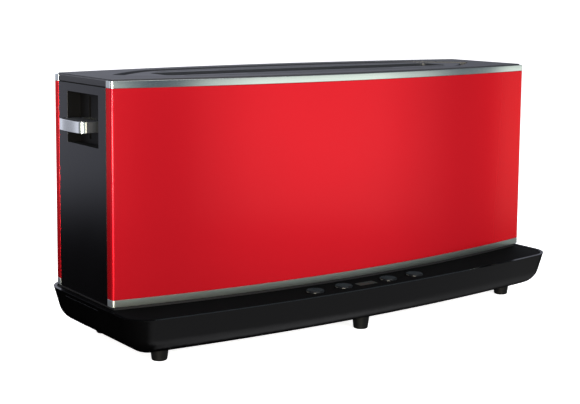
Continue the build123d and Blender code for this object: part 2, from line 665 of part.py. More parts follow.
def element_board(side):
    """The mica board that carries the heating ribbon, notched where the ribbon turns."""
    y = side * ELEMENT_Y
    y1 = y + side * ELEMENT_THICKNESS
    x = CHAMBER_HALF_LENGTH - GAP
    z0 = BODY_Z + ELEMENT_BOTTOM
    board = block(-x, x, min(y, y1), max(y, y1), z0, z0 + ELEMENT_HEIGHT)
    pitch = 2 * (CHAMBER_HALF_LENGTH - NOTCH_END) / (NOTCH_COUNT - 1)
    for i in range(NOTCH_COUNT):
        notch_x = NOTCH_END - CHAMBER_HALF_LENGTH + i * pitch
        for z in (z0, z0 + ELEMENT_HEIGHT):
            board -= block(notch_x - NOTCH_HALF_WIDTH, notch_x + NOTCH_HALF_WIDTH, min(y, y1) - 1,
                           max(y, y1) + 1, z - NOTCH_DEPTH, z + NOTCH_DEPTH)
    return board


def heating_ribbon(side):
    """Flat ribbon runs on the bread's side of the board."""
    y = side * ELEMENT_Y
    y1 = y - side * RIBBON_THICKNESS
    x = CHAMBER_HALF_LENGTH - RIBBON_END
    rows = int((ELEMENT_HEIGHT - 2 * RIBBON_EDGE + RIBBON_HEIGHT) / RIBBON_PITCH)
    z0 = BODY_Z + ELEMENT_BOTTOM + RIBBON_EDGE
    runs = []
    for i in range(rows + 1):
        z = z0 + i * RIBBON_PITCH
        runs.append(block(-x, x, min(y, y1), max(y, y1), z, z + RIBBON_HEIGHT))
    return Compound(runs)


def guard(side):
    """The wire guard that keeps the bread off the element."""
    y = side * GUARD_Y
    half = GUARD_WIRE / 2
    x = CHAMBER_HALF_LENGTH - GAP
    z0 = BODY_Z + GUARD_FOOT
    z1 = LID_Z - GUARD_FOOT / 4
    frame = block(-x, x, y - half, y + half, z0, z0 + GUARD_RAIL)
    frame += block(-x, x, y - half, y + half, z1 - GUARD_RAIL, z1)
    count = int(2 * (x - GUARD_RAIL) / GUARD_PITCH)
    for i in range(count + 1):
        wire_x = (i - count / 2) * GUARD_PITCH
        frame += block(wire_x - half, wire_x + half, y - half, y + half, z0 + 1, z1 - 1)
    return frame


def chamber_lid():
    """The sheet that closes the chamber round the bread slot, under the rack."""
    outline = Rectangle(2 * (CHAMBER_HALF_LENGTH + CHAMBER_SHEET), 2 * BULKHEAD_HALF_DEPTH)
    outline += eye(-COLLAR - CHAMBER_SHEET)
    outline -= Rectangle(2 * SLOT_HALF_LENGTH + SLOT_CORNER, 2 * SLOT_HALF_WIDTH + SLOT_CORNER / 2)
    return slab(outline, LID_Z, LID_Z + CHAMBER_SHEET)


def eye_half_width():
    """Half the top opening's width at its middle."""
    return BODY_END_DEPTH / 2 + BODY_BOW - RIM_WIDTH


def top_cover():
    """The top moulding: a low plateau inside the trims, flush ends, a collar round a pointed opening."""
    inset = TRIM_THICKNESS + GAP
    plateau = slab(body_outline(inset), TRIM_Z, TOP_Z)
    rim = plateau.faces().sort_by(Axis.Z)[-1].edges()
    half = END_HALF_WIDTH - GAP
    cover = fillet(rim, COVER_EASE) + block(-HALF_LENGTH, HALF_LENGTH, -half, half, TRIM_Z, TRIM_TOP_Z)
    hollow = slab(body_outline(inset + CAP_WALL), TRIM_Z - 1, TOP_Z - COVER_THICKNESS)
    opening = slab(eye(0), LID_Z, TOP_Z + 1)
    collar = slab(eye(-COLLAR), LID_Z + CHAMBER_SHEET + GAP, TOP_Z - COVER_THICKNESS + 0.1)
    cover = cover - hollow + collar - opening
    for side in (-1, 1):
        outer = side * (HALF_LENGTH + 1)
        inner = side * (HALF_LENGTH - COVER_GROOVE_DEPTH)
        cover -= block(min(outer, inner), max(outer, inner), -half - 1, half + 1, TRIM_Z - 1,
                       TRIM_Z + COVER_GROOVE_HEIGHT)
    return cover


def rack_gap(number):
    """One pair of long curved gaps, counted inwards from the rack's edge, stopped short of the slot."""
    band = eye_half_width() - RACK_GAP - SLOT_HALF_WIDTH
    bar = (band - RACK_GAPS * RACK_SLOT_WIDTH) / (RACK_GAPS + 1)
    outer = RACK_GAP + (number + 1) * bar + number * RACK_SLOT_WIDTH
    inner = outer + RACK_SLOT_WIDTH
    spare = eye_half_width() - inner - SLOT_HALF_WIDTH - RACK_LAND
    reach = min(HALF_LENGTH * math.sqrt(spare / BODY_BOW), EYE_HALF_LENGTH - RACK_END)
    window = Rectangle(2 * reach, BODY_END_DEPTH) - Rectangle(2 * reach, 2 * SLOT_HALF_WIDTH + 2)
    return (eye(outer) - eye(inner)) & window


def bun_rack():
    """The rack in the opening: long curved bars each side of the bread slot, on short legs."""
    z1 = TOP_Z - RACK_DROP
    z0 = z1 - RACK_THICKNESS
    outline = eye(RACK_GAP)
    for number in range(RACK_GAPS):
        outline -= rack_gap(number)
    outline -= RectangleRounded(2 * SLOT_HALF_LENGTH, 2 * SLOT_HALF_WIDTH, SLOT_CORNER)
    rack = slab(outline, z0, z1)
    lid_top = LID_Z + CHAMBER_SHEET
    end_x = SLOT_HALF_LENGTH + 2 * RACK_LEG
    for x in (-end_x, end_x):
        rack += rod(x, 0, lid_top, z0 + 0.5, RACK_LEG)
    for x in (-RACK_LEG_X, RACK_LEG_X):
        for side in (-1, 1):
            near = side * (SLOT_HALF_WIDTH + RACK_LEG)
            far = side * (eye_half_width() - RACK_GAP - RACK_LEG)
            rack += block(x - RACK_LEG / 2, x + RACK_LEG / 2, min(near, far), max(near, far), lid_top,
                          z0 + 0.6)
    return rack


def body_floor():
    """The moulded floor that closes the body and stands on the deck, set back as a shadow line."""
    floor = slab(body_outline(FLOOR_INSET), DECK_Z, BODY_Z)
    floor -= block(-CRUMB_HALF_LENGTH, CRUMB_HALF_LENGTH, -CRUMB_HALF_WIDTH, CRUMB_HALF_WIDTH,
                   DECK_Z - 1, BODY_Z + 1)
    return floor


def boat(inset):
    """The base's bowl, moved inwards by inset: its wall leans in from the lip and rounds under."""
    depth = BASE_HEIGHT - inset
    lean = depth * math.tan(math.radians(BASE_LEAN))
    lip = Pos(0, 0, LIP_Z) * base_outline(inset)
    bottom = Pos(0, 0, LIP_Z - depth) * base_outline(inset + lean)
    bowl = loft([lip, bottom], ruled=True)
    floor = bowl.faces().sort_by(Axis.Z)[0]
    return fillet(floor.edges(), BASE_ROUND - inset)


def tray_window(clearance):
    """The space in the base's end, from under the lip to below, that the crumb tray's front closes."""
    half = TRAY_WIDTH / 2 - clearance
    return block(-BASE_HALF_LENGTH - 1, -BASE_HALF_LENGTH + TRAY_DEPTH - clearance, TRAY_CENTRE_Y - half,
                 TRAY_CENTRE_Y + half, BASE_Z - 1, LIP_Z - TRAY_TOP - clearance)


def foot_places():
    """Feet under the corners and under the middle of each long side."""
    corner_x = BASE_HALF_LENGTH - FOOT_END_INSET
    front_y = FOOT_FRONT_INSET - BASE_FRONT
    back_y = BASE_BACK - FOOT_BACK_INSET
    return {
        "foot_front_left": (-corner_x, front_y),
        "foot_front_middle": (0, FOOT_MIDDLE_INSET - BASE_FRONT - BASE_FRONT_BOW),
        "foot_front_right": (corner_x, front_y),
        "foot_back_left": (-corner_x, back_y),
        "foot_back_middle": (0, BASE_BACK + BASE_BACK_BOW - FOOT_MIDDLE_INSET),
        "foot_back_right": (corner_x, back_y),
    }


def post_places():
    """Posts in the base that the deck is screwed to."""
    front_y = POST_FRONT_INSET - BASE_FRONT
    back_y = BASE_BACK - POST_BACK_INSET
    return [(-POST_X, front_y), (POST_X, front_y), (-POST_X, back_y), (POST_X, back_y)]


def base_shell():
    """The hollow base: leaning bowl, tray window, runners, posts, foot sockets and vents."""
    shell = boat(0) - boat(BASE_WALL) - tray_window(0)
    floor_top = BASE_Z + BASE_WALL
    for side in (-1, 1):
        y = TRAY_CENTRE_Y + side * (TRAY_WIDTH / 2 - PAN_CLEARANCE - RUNNER_INSET)
        shell += block(-BASE_HALF_LENGTH + RUNNER_START, CRUMB_HALF_LENGTH, y - RUNNER_THICKNESS / 2,
                       y + RUNNER_THICKNESS / 2, floor_top - 0.5, PAN_Z)
    for x, y in post_places():
        seat_z = BASE_Z + SCREW_SEAT
        bore = SCREW_RADIUS + BUTTON_CLEARANCE
        shell += rod(x, y, floor_top - 0.5, DECK_UNDER_Z, POST_RADIUS + 0.5)
        shell -= rod(x, y, seat_z, DECK_UNDER_Z + 1, bore)
        shell -= rod(x, y, BASE_Z - 1, seat_z, POST_RADIUS - 0.5)
    for x, y in foot_places().values():
        shell -= rod(x, y, BASE_Z - 1, BASE_Z + FOOT_SOCKET, FOOT_TOP_RADIUS + 0.1)
    vent_y = TRAY_WIDTH / 2 + 2 * VENT_WIDTH
    for i in range(VENT_COUNT):
        x = (i - (VENT_COUNT - 1) / 2) * VENT_PITCH
        for y in (TRAY_CENTRE_Y - vent_y, TRAY_CENTRE_Y + vent_y):
            shell -= block(x - VENT_LENGTH / 2, x + VENT_LENGTH / 2, y - VENT_WIDTH / 2,
                           y + VENT_WIDTH / 2, BASE_Z - 1, floor_top + 1)
    return shell


def foot(x, y):
    """A tapered foot pressed into its socket, rounded at the ground."""
    top = BASE_Z + FOOT_SOCKET
    body = Pos(x, y, top / 2) * Cone(FOOT_BOTTOM_RADIUS, FOOT_TOP_RADIUS, top)
    ground = body.edges().group_by(Axis.Z)[0]
    return fillet(ground, FOOT_EASE)


def button_places():
    """Button centres: two each side of the display window."""
    offsets = [-BUTTON_OFFSET - BUTTON_SPACING, -BUTTON_OFFSET, BUTTON_OFFSET, BUTTON_OFFSET + BUTTON_SPACING]
    return [CONTROL_X + offset for offset in offsets]


def control_deck():
    """The flat top of the base with the button holes, the window and the crumb opening."""
    deck = slab(base_outline(BASE_WALL + GAP), DECK_UNDER_Z, DECK_Z)
    deck = deck & lip_space()
    cut_z = DECK_UNDER_Z - 1
    deck -= block(-CRUMB_HALF_LENGTH, CRUMB_HALF_LENGTH, -CRUMB_HALF_WIDTH, CRUMB_HALF_WIDTH,
                  cut_z, DECK_Z + 1)
    for x in button_places():
        deck -= rod(x, CONTROL_Y, cut_z, DECK_Z + 1, BUTTON_RADIUS + BUTTON_CLEARANCE)
    hole = RectangleRounded(WINDOW_LENGTH, WINDOW_WIDTH, WINDOW_CORNER)
    deck -= Pos(CONTROL_X, CONTROL_Y, cut_z) * extrude(hole, DECK_THICKNESS + 2)
    for x, y in post_places():
        deck -= rod(x, y, cut_z, DECK_UNDER_Z + SCREW_BITE, SCREW_RADIUS)
    return deck


def lip_space():
    """The space inside the leaning wall of the base, a running gap clear of it."""
    depth = BASE_HEIGHT / 2
    lean = depth * math.tan(math.radians(BASE_LEAN))
    inset = BASE_WALL + GAP
    return loft([Pos(0, 0, LIP_Z) * base_outline(inset),
                 Pos(0, 0, LIP_Z - depth) * base_outline(inset + lean)], ruled=True)


def button(x):
    """A push button: low dome, flange under the deck and a stem over its switch."""
    cap = rod(x, CONTROL_Y, DECK_UNDER_Z, DECK_Z + BUTTON_STAND, BUTTON_RADIUS)
    rim = cap.edges().group_by(Axis.Z)[-1]
    cap = fillet(rim, BUTTON_STAND * 0.8)
    cap += rod(x, CONTROL_Y, DECK_UNDER_Z - BUTTON_FLANGE, DECK_UNDER_Z, BUTTON_RADIUS + BUTTON_FLANGE_REACH)
    return cap + rod(x, CONTROL_Y, button_stem_z(), DECK_UNDER_Z, BUTTON_STEM_RADIUS)


def button_stem_z():
    """Lower end of a button's stem at rest."""
    return DECK_UNDER_Z - BUTTON_FLANGE - BUTTON_STEM


def display_window():
    """The dark pane set flush in the deck."""
    inset = 2 * WINDOW_CLEARANCE
    pane = RectangleRounded(WINDOW_LENGTH - inset, WINDOW_WIDTH - inset, WINDOW_CORNER - WINDOW_CLEARANCE)
    return Pos(CONTROL_X, CONTROL_Y, DECK_UNDER_Z) * extrude(pane, DECK_THICKNESS - 0.1)


def board_z():
    """Top of the control board: its switches end just under the buttons' stems when pressed."""
    return button_stem_z() - BUTTON_TRAVEL - GAP - SWITCH_HEIGHT


def control_board():
    """The circuit board under the buttons, on two legs that stand in the base."""
    x = BUTTON_OFFSET + BUTTON_SPACING + BOARD_END
    top = board_z()
    back_y = CONTROL_Y + BOARD_BACK
    board = block(CONTROL_X - x, CONTROL_X + x, CONTROL_Y - BOARD_FRONT, back_y, top - BOARD_THICKNESS, top)
    for side in (-1, 1):
        leg_x = CONTROL_X + side * (x - BOARD_LEG)
        board += block(leg_x - BOARD_LEG / 2, leg_x + BOARD_LEG / 2, back_y - BOARD_LEG, back_y,
                       BASE_Z + BASE_WALL + GAP, top - BOARD_THICKNESS + 0.1)
    return board


def tact_switches():
    """One small switch under each button."""
    half = SWITCH_SIZE / 2
    switches = []
    for x in button_places():
        switches.append(block(x - half, x + half, CONTROL_Y - half, CONTROL_Y + half, board_z(),
                              board_z() + SWITCH_HEIGHT))
    return Compound(switches)


def display_module():
    """The lit digit block between the board and the window."""
    half_x = WINDOW_LENGTH / 2 - MODULE_MARGIN
    half_y = WINDOW_WIDTH / 2 - MODULE_MARGIN
    return block(CONTROL_X - half_x, CONTROL_X + half_x, CONTROL_Y - half_y, CONTROL_Y + half_y,
                 board_z(), DECK_UNDER_Z - GAP)


def power_board():
    """The supply board with its relay, capacitor and terminals, upright at the plain end."""
    x0 = ROD_X + BUSH_RADIUS + SUPPLY_GAP
    x1 = x0 + BOARD_THICKNESS
    back = x1 - 0.1
    board = block(x0, x1, -SUPPLY_HALF_WIDTH, SUPPLY_HALF_WIDTH, BODY_Z, BODY_Z + SUPPLY_HEIGHT)
    relay_z = BODY_Z + RELAY_BOTTOM
    relay_y = SUPPLY_HALF_WIDTH - CAPACITOR_RADIUS
    board += block(back, x1 + RELAY_DEPTH, -relay_y, RELAY_SIZE - relay_y, relay_z, relay_z + RELAY_HEIGHT)
    board += rod_along_x(back, x1 + CAPACITOR_LENGTH, SUPPLY_HALF_WIDTH / 2, relay_z + RELAY_HEIGHT / 2,
                         CAPACITOR_RADIUS)
    terminal_z = BODY_Z + TERMINAL_BOTTOM
    return board + block(back, x1 + TERMINAL_DEPTH, -TERMINAL_HALF_WIDTH, TERMINAL_HALF_WIDTH,
                         terminal_z, terminal_z + TERMINAL_HEIGHT)


def deck_screws():
    """Screws up through the base's posts into the deck."""
    seat_z = BASE_Z + SCREW_SEAT
    screws = []
    for x, y in post_places():
        head = rod(x, y, seat_z - SCREW_HEAD_HEIGHT, seat_z, SCREW_HEAD_RADIUS)
        screws.append(head + rod(x, y, seat_z - 0.1, DECK_UNDER_Z + SCREW_BITE - 0.4, SCREW_RADIUS))
    return Compound(screws)


def crumb_tray_front():
    """The end of the crumb tray: the base's own curve, notched below for a finger."""
    front = (boat(0) - boat(BASE_WALL)) & tray_window(TRAY_CLEARANCE)
    half = FINGER_WIDTH / 2
    return front - block(-BASE_HALF_LENGTH - 1, -BASE_HALF_LENGTH + TRAY_DEPTH, TRAY_CENTRE_Y - half,
                         TRAY_CENTRE_Y + half, BASE_Z - 1, BASE_Z + FINGER_HEIGHT)


def crumb_pan():
    """The sheet pan: flat floor and low walls on the two runners, closed at its mouth by the front."""
    half = TRAY_WIDTH / 2 - PAN_CLEARANCE
    x0 = -BASE_HALF_LENGTH
    x1 = CRUMB_HALF_LENGTH + PAN_OVERRUN
    y0 = TRAY_CENTRE_Y - half
    y1 = TRAY_CENTRE_Y + half
    pan = block(x0, x1, y0, y1, PAN_Z, PAN_Z + PAN_DEPTH)
    pan -= block(x0 - 1, x1 - PAN_SHEET, y0 + PAN_SHEET, y1 - PAN_SHEET, PAN_Z + PAN_SHEET,
                 PAN_Z + PAN_DEPTH + 1)
    mouth = block(x0 - 1, x0 + TRAY_DEPTH, y0 - 1, y1 + 1, PAN_Z - 1, PAN_Z + PAN_DEPTH + 1)
    return pan - (mouth - boat(BASE_WALL))


def build():
    """Every node of the toaster by name."""
    nodes = {
        "front_panel": panel(-1),
        "back_panel": panel(1),
        "front_top_trim": top_trim(-1),
        "back_top_trim": top_trim(1),
        "front_bottom_trim": bottom_trim(-1),
        "back_bottom_trim": bottom_trim(1),
        "lever_end_cap": end_cap(-1),
        "plain_end_cap": end_cap(1),
        "top_cover": top_cover(),
        "bun_rack": bun_rack(),
        "body_floor": body_floor(),
        "chamber_lid": chamber_lid(),
        "lever_end_bulkhead": bulkhead(-1),
        "plain_end_bulkhead": bulkhead(1),
        "front_reflector": reflector(-1),
        "back_reflector": reflector(1),
        "front_element_board": element_board(-1),
        "back_element_board": element_board(1),
        "front_heating_ribbon": heating_ribbon(-1),
        "back_heating_ribbon": heating_ribbon(1),
        "front_bread_guard": guard(-1),
        "back_bread_guard": guard(1),
        "guide_rods": guide_rods(),
        "plain_end_guide_rod": right_guide_rod(),
        "lever_rod": lever_rod(),
        "lever_band": lever_band(),
        "lever_grip": lever_grip(),
        "lever_slider": lever_slider(),
        "rocker_arm": rocker(),
        "carriage_bracket": carriage_bracket(),
        "latch_armature": armature(),
        "bread_rack": bread_rack(),
        "plain_end_bush": right_bush(),
        "return_spring": return_spring(),
        "latch_magnet": latch_magnet(),
        "power_board": power_board(),
        "base_shell": base_shell(),
        "control_deck": control_deck(),
        "display_window": display_window(),
        "display_module": display_module(),
        "control_board": control_board(),
        "tact_switches": tact_switches(),
        "deck_screws": deck_screws(),
        "crumb_tray_front": crumb_tray_front(),
        "crumb_pan": crumb_pan(),
    }
    for number, x in enumerate(button_places(), start=1):
        nodes[f"button_{number}"] = button(x)
    for name, place in foot_places().items():
        nodes[name] = foot(*place)
    return nodes


if __name__ == "__main__":
    os.makedirs("parts", exist_ok=True)
    to_origin = Pos(-ORIGIN_X, -ORIGIN_Y, 0)
    for node, shape in build().items():
        export_step(to_origin * shape, f"parts/{node}.step")
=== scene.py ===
import json
import math

import bmesh
import bpy
from bpy.props import FloatProperty, FloatVectorProperty, IntProperty, PointerProperty
from mathutils import Matrix, Vector


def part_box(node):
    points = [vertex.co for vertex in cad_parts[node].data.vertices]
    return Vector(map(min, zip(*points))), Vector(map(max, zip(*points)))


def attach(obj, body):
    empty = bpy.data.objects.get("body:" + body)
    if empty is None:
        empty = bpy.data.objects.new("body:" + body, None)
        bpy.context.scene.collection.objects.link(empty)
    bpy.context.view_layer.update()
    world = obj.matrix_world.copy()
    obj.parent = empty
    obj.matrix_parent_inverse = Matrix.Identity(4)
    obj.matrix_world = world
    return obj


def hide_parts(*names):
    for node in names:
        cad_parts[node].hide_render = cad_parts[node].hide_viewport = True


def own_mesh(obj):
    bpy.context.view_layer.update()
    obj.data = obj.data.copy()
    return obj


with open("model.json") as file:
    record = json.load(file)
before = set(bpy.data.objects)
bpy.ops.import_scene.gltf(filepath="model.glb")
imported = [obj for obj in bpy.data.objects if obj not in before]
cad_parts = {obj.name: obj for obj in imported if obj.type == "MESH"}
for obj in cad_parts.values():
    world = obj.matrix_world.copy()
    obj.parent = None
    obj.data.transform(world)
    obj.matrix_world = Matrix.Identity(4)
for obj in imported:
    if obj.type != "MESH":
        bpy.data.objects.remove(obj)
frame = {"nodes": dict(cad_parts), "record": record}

bl_info = {
    "name": "Long-slot toaster",
    "version": (1, 0, 0),
    "blender": (4, 5, 0),
    "location": "3D View > Sidebar > Toaster",
    "description": "Dresses the toaster's solids: eased edges, wound elements, guards, screws and finishes",
    "category": "Object",
}

MM = 0.001
WELD = 0.01 * MM
FLAT = math.radians(0.05)
FLOOR_REACH = 30.0
RECORD = frame["record"]
BODY_OF = {node: body for body, nodes in RECORD["behaviour"]["bodies"].items() for node in nodes}
SLOT_OF = {part["node"]: part["material_slot"] for part in RECORD["subparts"]}
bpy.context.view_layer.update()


# ---------------------------------------------------------------- small helpers
def linear(hex_colour):
    """An sRGB hex colour as linear red, green and blue."""
    parts = [int(hex_colour[i:i + 2], 16) / 255 for i in (0, 2, 4)]
    return [part / 12.92 if part <= 0.04045 else ((part + 0.055) / 1.055)**2.4 for part in parts]


def add_node(tree, kind, links=None, **settings):
    """Adds a node: settings are its own properties, links are values or other nodes' outputs by input."""
    made = tree.nodes.new(kind)
    for name, value in settings.items():
        setattr(made, name, value)
    for name, value in (links or {}).items():
        socket = made.inputs[name]
        if isinstance(value, bpy.types.NodeSocket):
            tree.links.new(value, socket)
        else:
            socket.default_value = value
    return made


def new_finish(name, **shader):
    """A material with one Principled shader whose sockets take these values."""
    finish = bpy.data.materials.new(name)
    finish.use_nodes = True
    tree = finish.node_tree
    tree.nodes.clear()
    bsdf = add_node(tree, "ShaderNodeBsdfPrincipled")
    for socket, value in shader.items():
        bsdf.inputs[socket.replace("_", " ").title().replace("Ior", "IOR")].default_value = value
    add_node(tree, "ShaderNodeOutputMaterial", {"Surface": bsdf.outputs["BSDF"]})
    return finish, tree, bsdf


def rgba(colour):
    return (colour[0], colour[1], colour[2], 1.0)


def shade(colour, factor):
    """The same colour, lighter or darker."""
    return (colour[0] * factor, colour[1] * factor, colour[2] * factor, 1.0)


def settings():
    return bpy.context.scene.toaster


def smooth_faces(mesh, angle=32):
    """Smooth shading that stops at every edge sharper than the angle."""
    for face in mesh.polygons:
        face.use_smooth = True
    mesh.set_sharp_from_angle(angle=math.radians(angle))


def new_tree(name, takes_points=False, **inputs):
    """A geometry tree with one named input for each size, and its input node's outputs."""
    tree = bpy.data.node_groups.new(name, "GeometryNodeTree")
    tree.interface.new_socket("Geometry", in_out="OUTPUT", socket_type="NodeSocketGeometry")
    if takes_points:
        tree.interface.new_socket("Geometry", in_out="INPUT", socket_type="NodeSocketGeometry")
    for label, value in inputs.items():
        kind = "NodeSocketInt" if isinstance(value, int) else "NodeSocketFloat"
        made = tree.interface.new_socket(label, in_out="INPUT", socket_type=kind)
        made.default_value = value
    return tree, add_node(tree, "NodeGroupInput").outputs


def number(tree, operation, first, second=0.0):
    """One step of arithmetic on sizes in a tree."""
    return add_node(tree, "ShaderNodeMath", {0: first, 1: second}, operation=operation).outputs[0]


def vector(tree, x=0.0, y=0.0, z=0.0):
    return add_node(tree, "ShaderNodeCombineXYZ", {"X": x, "Y": y, "Z": z}).outputs[0]


def end_tree(tree, finish, *parts):
    """Joins the parts, makes their instances real and gives them the finish."""
    joined = add_node(tree, "GeometryNodeJoinGeometry")
    for part in parts:
        tree.links.new(part, joined.inputs[0])
    real = add_node(tree, "GeometryNodeRealizeInstances", {"Geometry": joined.outputs[0]})
    dressed = add_node(tree, "GeometryNodeSetMaterial", {"Geometry": real.outputs[0], "Material": finish})
    add_node(tree, "NodeGroupOutput", {"Geometry": dressed.outputs[0]})


def grown(name, tree, points, shift, **sizes):
    """A plain mesh grown by the tree on these points with these sizes, then shifted to its place."""
    mesh = bpy.data.meshes.new(name)
    mesh.from_pydata(points, [], [])
    piece = bpy.data.objects.new(name, mesh)
    bpy.context.scene.collection.objects.link(piece)
    modifier = piece.modifiers.new("grown", "NODES")
    modifier.node_group = tree
    for socket in tree.interface.items_tree:
        if socket.in_out == "INPUT" and socket.name in sizes:
            modifier[socket.identifier] = sizes[socket.name]
    baked(piece)
    piece.data.transform(Matrix.Translation(shift))
    smooth_faces(piece.data)
    return piece


def baked(piece):
    """The piece with its modifiers turned to plain mesh."""
    depsgraph = bpy.context.evaluated_depsgraph_get()
    mesh = bpy.data.meshes.new_from_object(piece.evaluated_get(depsgraph), depsgraph=depsgraph)
    piece.modifiers.clear()
    old = piece.data
    piece.data = mesh
    bpy.data.meshes.remove(old)
    return piece


def stand_for(piece, *nodes):
    """The piece rides as these nodes did, and takes their place."""
    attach(piece, BODY_OF[nodes[0]])
    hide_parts(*nodes)
    return piece


def welded_copy(node, name):
    """A loose copy of a node's solid with its corners merged and its flat facets joined."""
    mesh = frame["nodes"][node].data.copy()
    mesh.name = name
    for attribute in ("custom_normal", "sharp_edge", "sharp_face"):
        if attribute in mesh.attributes:
            mesh.attributes.remove(mesh.attributes[attribute])
    form = bmesh.new()
    form.from_mesh(mesh)
    bmesh.ops.remove_doubles(form, verts=form.verts, dist=WELD)
    bmesh.ops.dissolve_limit(form, angle_limit=FLAT, verts=form.verts, edges=form.edges)
    form.to_mesh(mesh)
    form.free()
    piece = bpy.data.objects.new(name, mesh)
    bpy.context.scene.collection.objects.link(piece)
    return piece


def dressed(mesh, finish):
    """The mesh with this finish alone."""
    mesh.materials.clear()
    mesh.materials.append(finish)


def eased_copy(node, finish, edge, segments=2, angle=38):
    """A welded copy with every sharp edge rounded, as the real moulding or sheet has it."""
    piece = welded_copy(node, f"{node}_eased")
    bevel = piece.modifiers.new("eased edges", "BEVEL")
    bevel.width = edge
    bevel.segments = segments
    bevel.limit_method = "ANGLE"
    bevel.angle_limit = math.radians(angle)
    bevel.miter_outer = "MITER_ARC"
    for face in piece.data.polygons:
        face.use_smooth = True
    weighted = piece.modifiers.new("flat faces stay flat", "WEIGHTED_NORMAL")
    weighted.keep_sharp = True
    baked(piece)
    dressed(piece.data, finish)
    return stand_for(piece, node)


# ---------------------------------------------------------------- finishes
def candy_lacquer():
    """Red translucent lacquer sprayed and stoved over bright steel: reflections come out red, and a
    thin clear coat adds a sharp pale line where the sheet turns a corner. Faint orange peel."""
    look = settings()
    finish, tree, bsdf = new_finish("Candy red lacquer, sprayed on steel sheet", metallic=0.72,
                                    roughness=0.24, specular_ior_level=0.1, coat_weight=0.18,
                                    coat_roughness=0.04, specular_tint=rgba(linear("F0303A")))
    place = add_node(tree, "ShaderNodeTexCoord").outputs["Object"]
    cloud = add_node(tree, "ShaderNodeTexNoise", {"Vector": place, "Scale": 1 / (60 * MM), "Detail": 2.0})
    mix = add_node(tree, "ShaderNodeMix", {"Factor": cloud.outputs["Fac"],
                                           "A": shade(look.panel_colour, 0.97),
                                           "B": shade(look.panel_colour, 1.03)}, data_type="RGBA")
    tree.links.new(mix.outputs["Result"], bsdf.inputs["Base Color"])
    peel = add_node(tree, "ShaderNodeTexNoise", {"Vector": place, "Scale": 1 / (1.6 * MM), "Detail": 1.0})
    bump = add_node(tree, "ShaderNodeBump", {"Height": peel.outputs["Fac"], "Strength": 0.03,
                                             "Distance": 0.05 * MM})
    tree.links.new(bump.outputs["Normal"], bsdf.inputs["Normal"])
    return finish


def brushed_aluminium(name, colour, smooth, coarse):
    """Extruded aluminium, brushed along its length and clear anodised: fine lines along X that
    spread reflections up and down."""
    finish, tree, bsdf = new_finish(name, metallic=1.0, roughness=smooth)
    place = add_node(tree, "ShaderNodeTexCoord").outputs["Object"]
    stretch = add_node(tree, "ShaderNodeMapping", {"Vector": place, "Scale": (1 / (30 * MM), 1 / (0.5 * MM),
                                                                              1 / (0.5 * MM))})
    lines = add_node(tree, "ShaderNodeTexNoise", {"Vector": stretch.outputs["Vector"], "Scale": 1.0,
                                                  "Detail": 3.0, "Roughness": 0.6})
    mix = add_node(tree, "ShaderNodeMix", {"Factor": lines.outputs["Fac"], "A": shade(colour, 0.9),
                                           "B": shade(colour, 1.06)}, data_type="RGBA")
    tree.links.new(mix.outputs["Result"], bsdf.inputs["Base Color"])
    rough = add_node(tree, "ShaderNodeMapRange", {"Value": lines.outputs["Fac"], "To Min": smooth,
                                                  "To Max": coarse})
    tree.links.new(rough.outputs["Result"], bsdf.inputs["Roughness"])
    bump = add_node(tree, "ShaderNodeBump", {"Height": lines.outputs["Fac"], "Strength": 0.08,
                                             "Distance": 0.02 * MM})
    tree.links.new(bump.outputs["Normal"], bsdf.inputs["Normal"])
    return finish


def moulded_plastic(name, colour, roughness, grain, depth, spread=0.08, gloss=0.5):
    """Injection-moulded thermoplastic with a spark-eroded grain: broad soft highlights, and gloss
    that varies a little where it is handled."""
    finish, tree, bsdf = new_finish(name, roughness=roughness, ior=1.5, specular_ior_level=gloss)
    place = add_node(tree, "ShaderNodeTexCoord").outputs["Object"]
    cells = add_node(tree, "ShaderNodeTexNoise", {"Vector": place, "Scale": 1 / grain, "Detail": 3.0})
    cloud = add_node(tree, "ShaderNodeTexNoise", {"Vector": place, "Scale": 1 / (45 * MM), "Detail": 2.0})
    mix = add_node(tree, "ShaderNodeMix", {"Factor": cells.outputs["Fac"], "A": shade(colour, 0.85),
                                           "B": shade(colour, 1.15)}, data_type="RGBA")
    tree.links.new(mix.outputs["Result"], bsdf.inputs["Base Color"])
    rough = add_node(tree, "ShaderNodeMapRange", {"Value": cloud.outputs["Fac"],
                                                  "To Min": roughness - spread / 2,
                                                  "To Max": roughness + spread / 2})
    tree.links.new(rough.outputs["Result"], bsdf.inputs["Roughness"])
    bump = add_node(tree, "ShaderNodeBump", {"Height": cells.outputs["Fac"], "Strength": 0.25,
                                             "Distance": depth})
    tree.links.new(bump.outputs["Normal"], bsdf.inputs["Normal"])
    return finish


def chrome_plate():
    """Bright nickel-chrome plate on a polished strip: a hard mirror with a trace of polishing haze."""
    finish, tree, bsdf = new_finish("Chrome plate, polished", metallic=1.0, roughness=0.1,
                                    base_color=rgba(linear("D9DBD8")))
    place = add_node(tree, "ShaderNodeTexCoord").outputs["Object"]
    stretch = add_node(tree, "ShaderNodeMapping", {"Vector": place, "Scale": (1 / (8 * MM), 1 / (8 * MM),
                                                                              1 / (0.4 * MM))})
    haze = add_node(tree, "ShaderNodeTexNoise", {"Vector": stretch.outputs["Vector"], "Scale": 1.0,
                                                 "Detail": 2.0})
    rough = add_node(tree, "ShaderNodeMapRange", {"Value": haze.outputs["Fac"], "To Min": 0.07,
                                                  "To Max": 0.2})
    tree.links.new(rough.outputs["Result"], bsdf.inputs["Roughness"])
    return finish


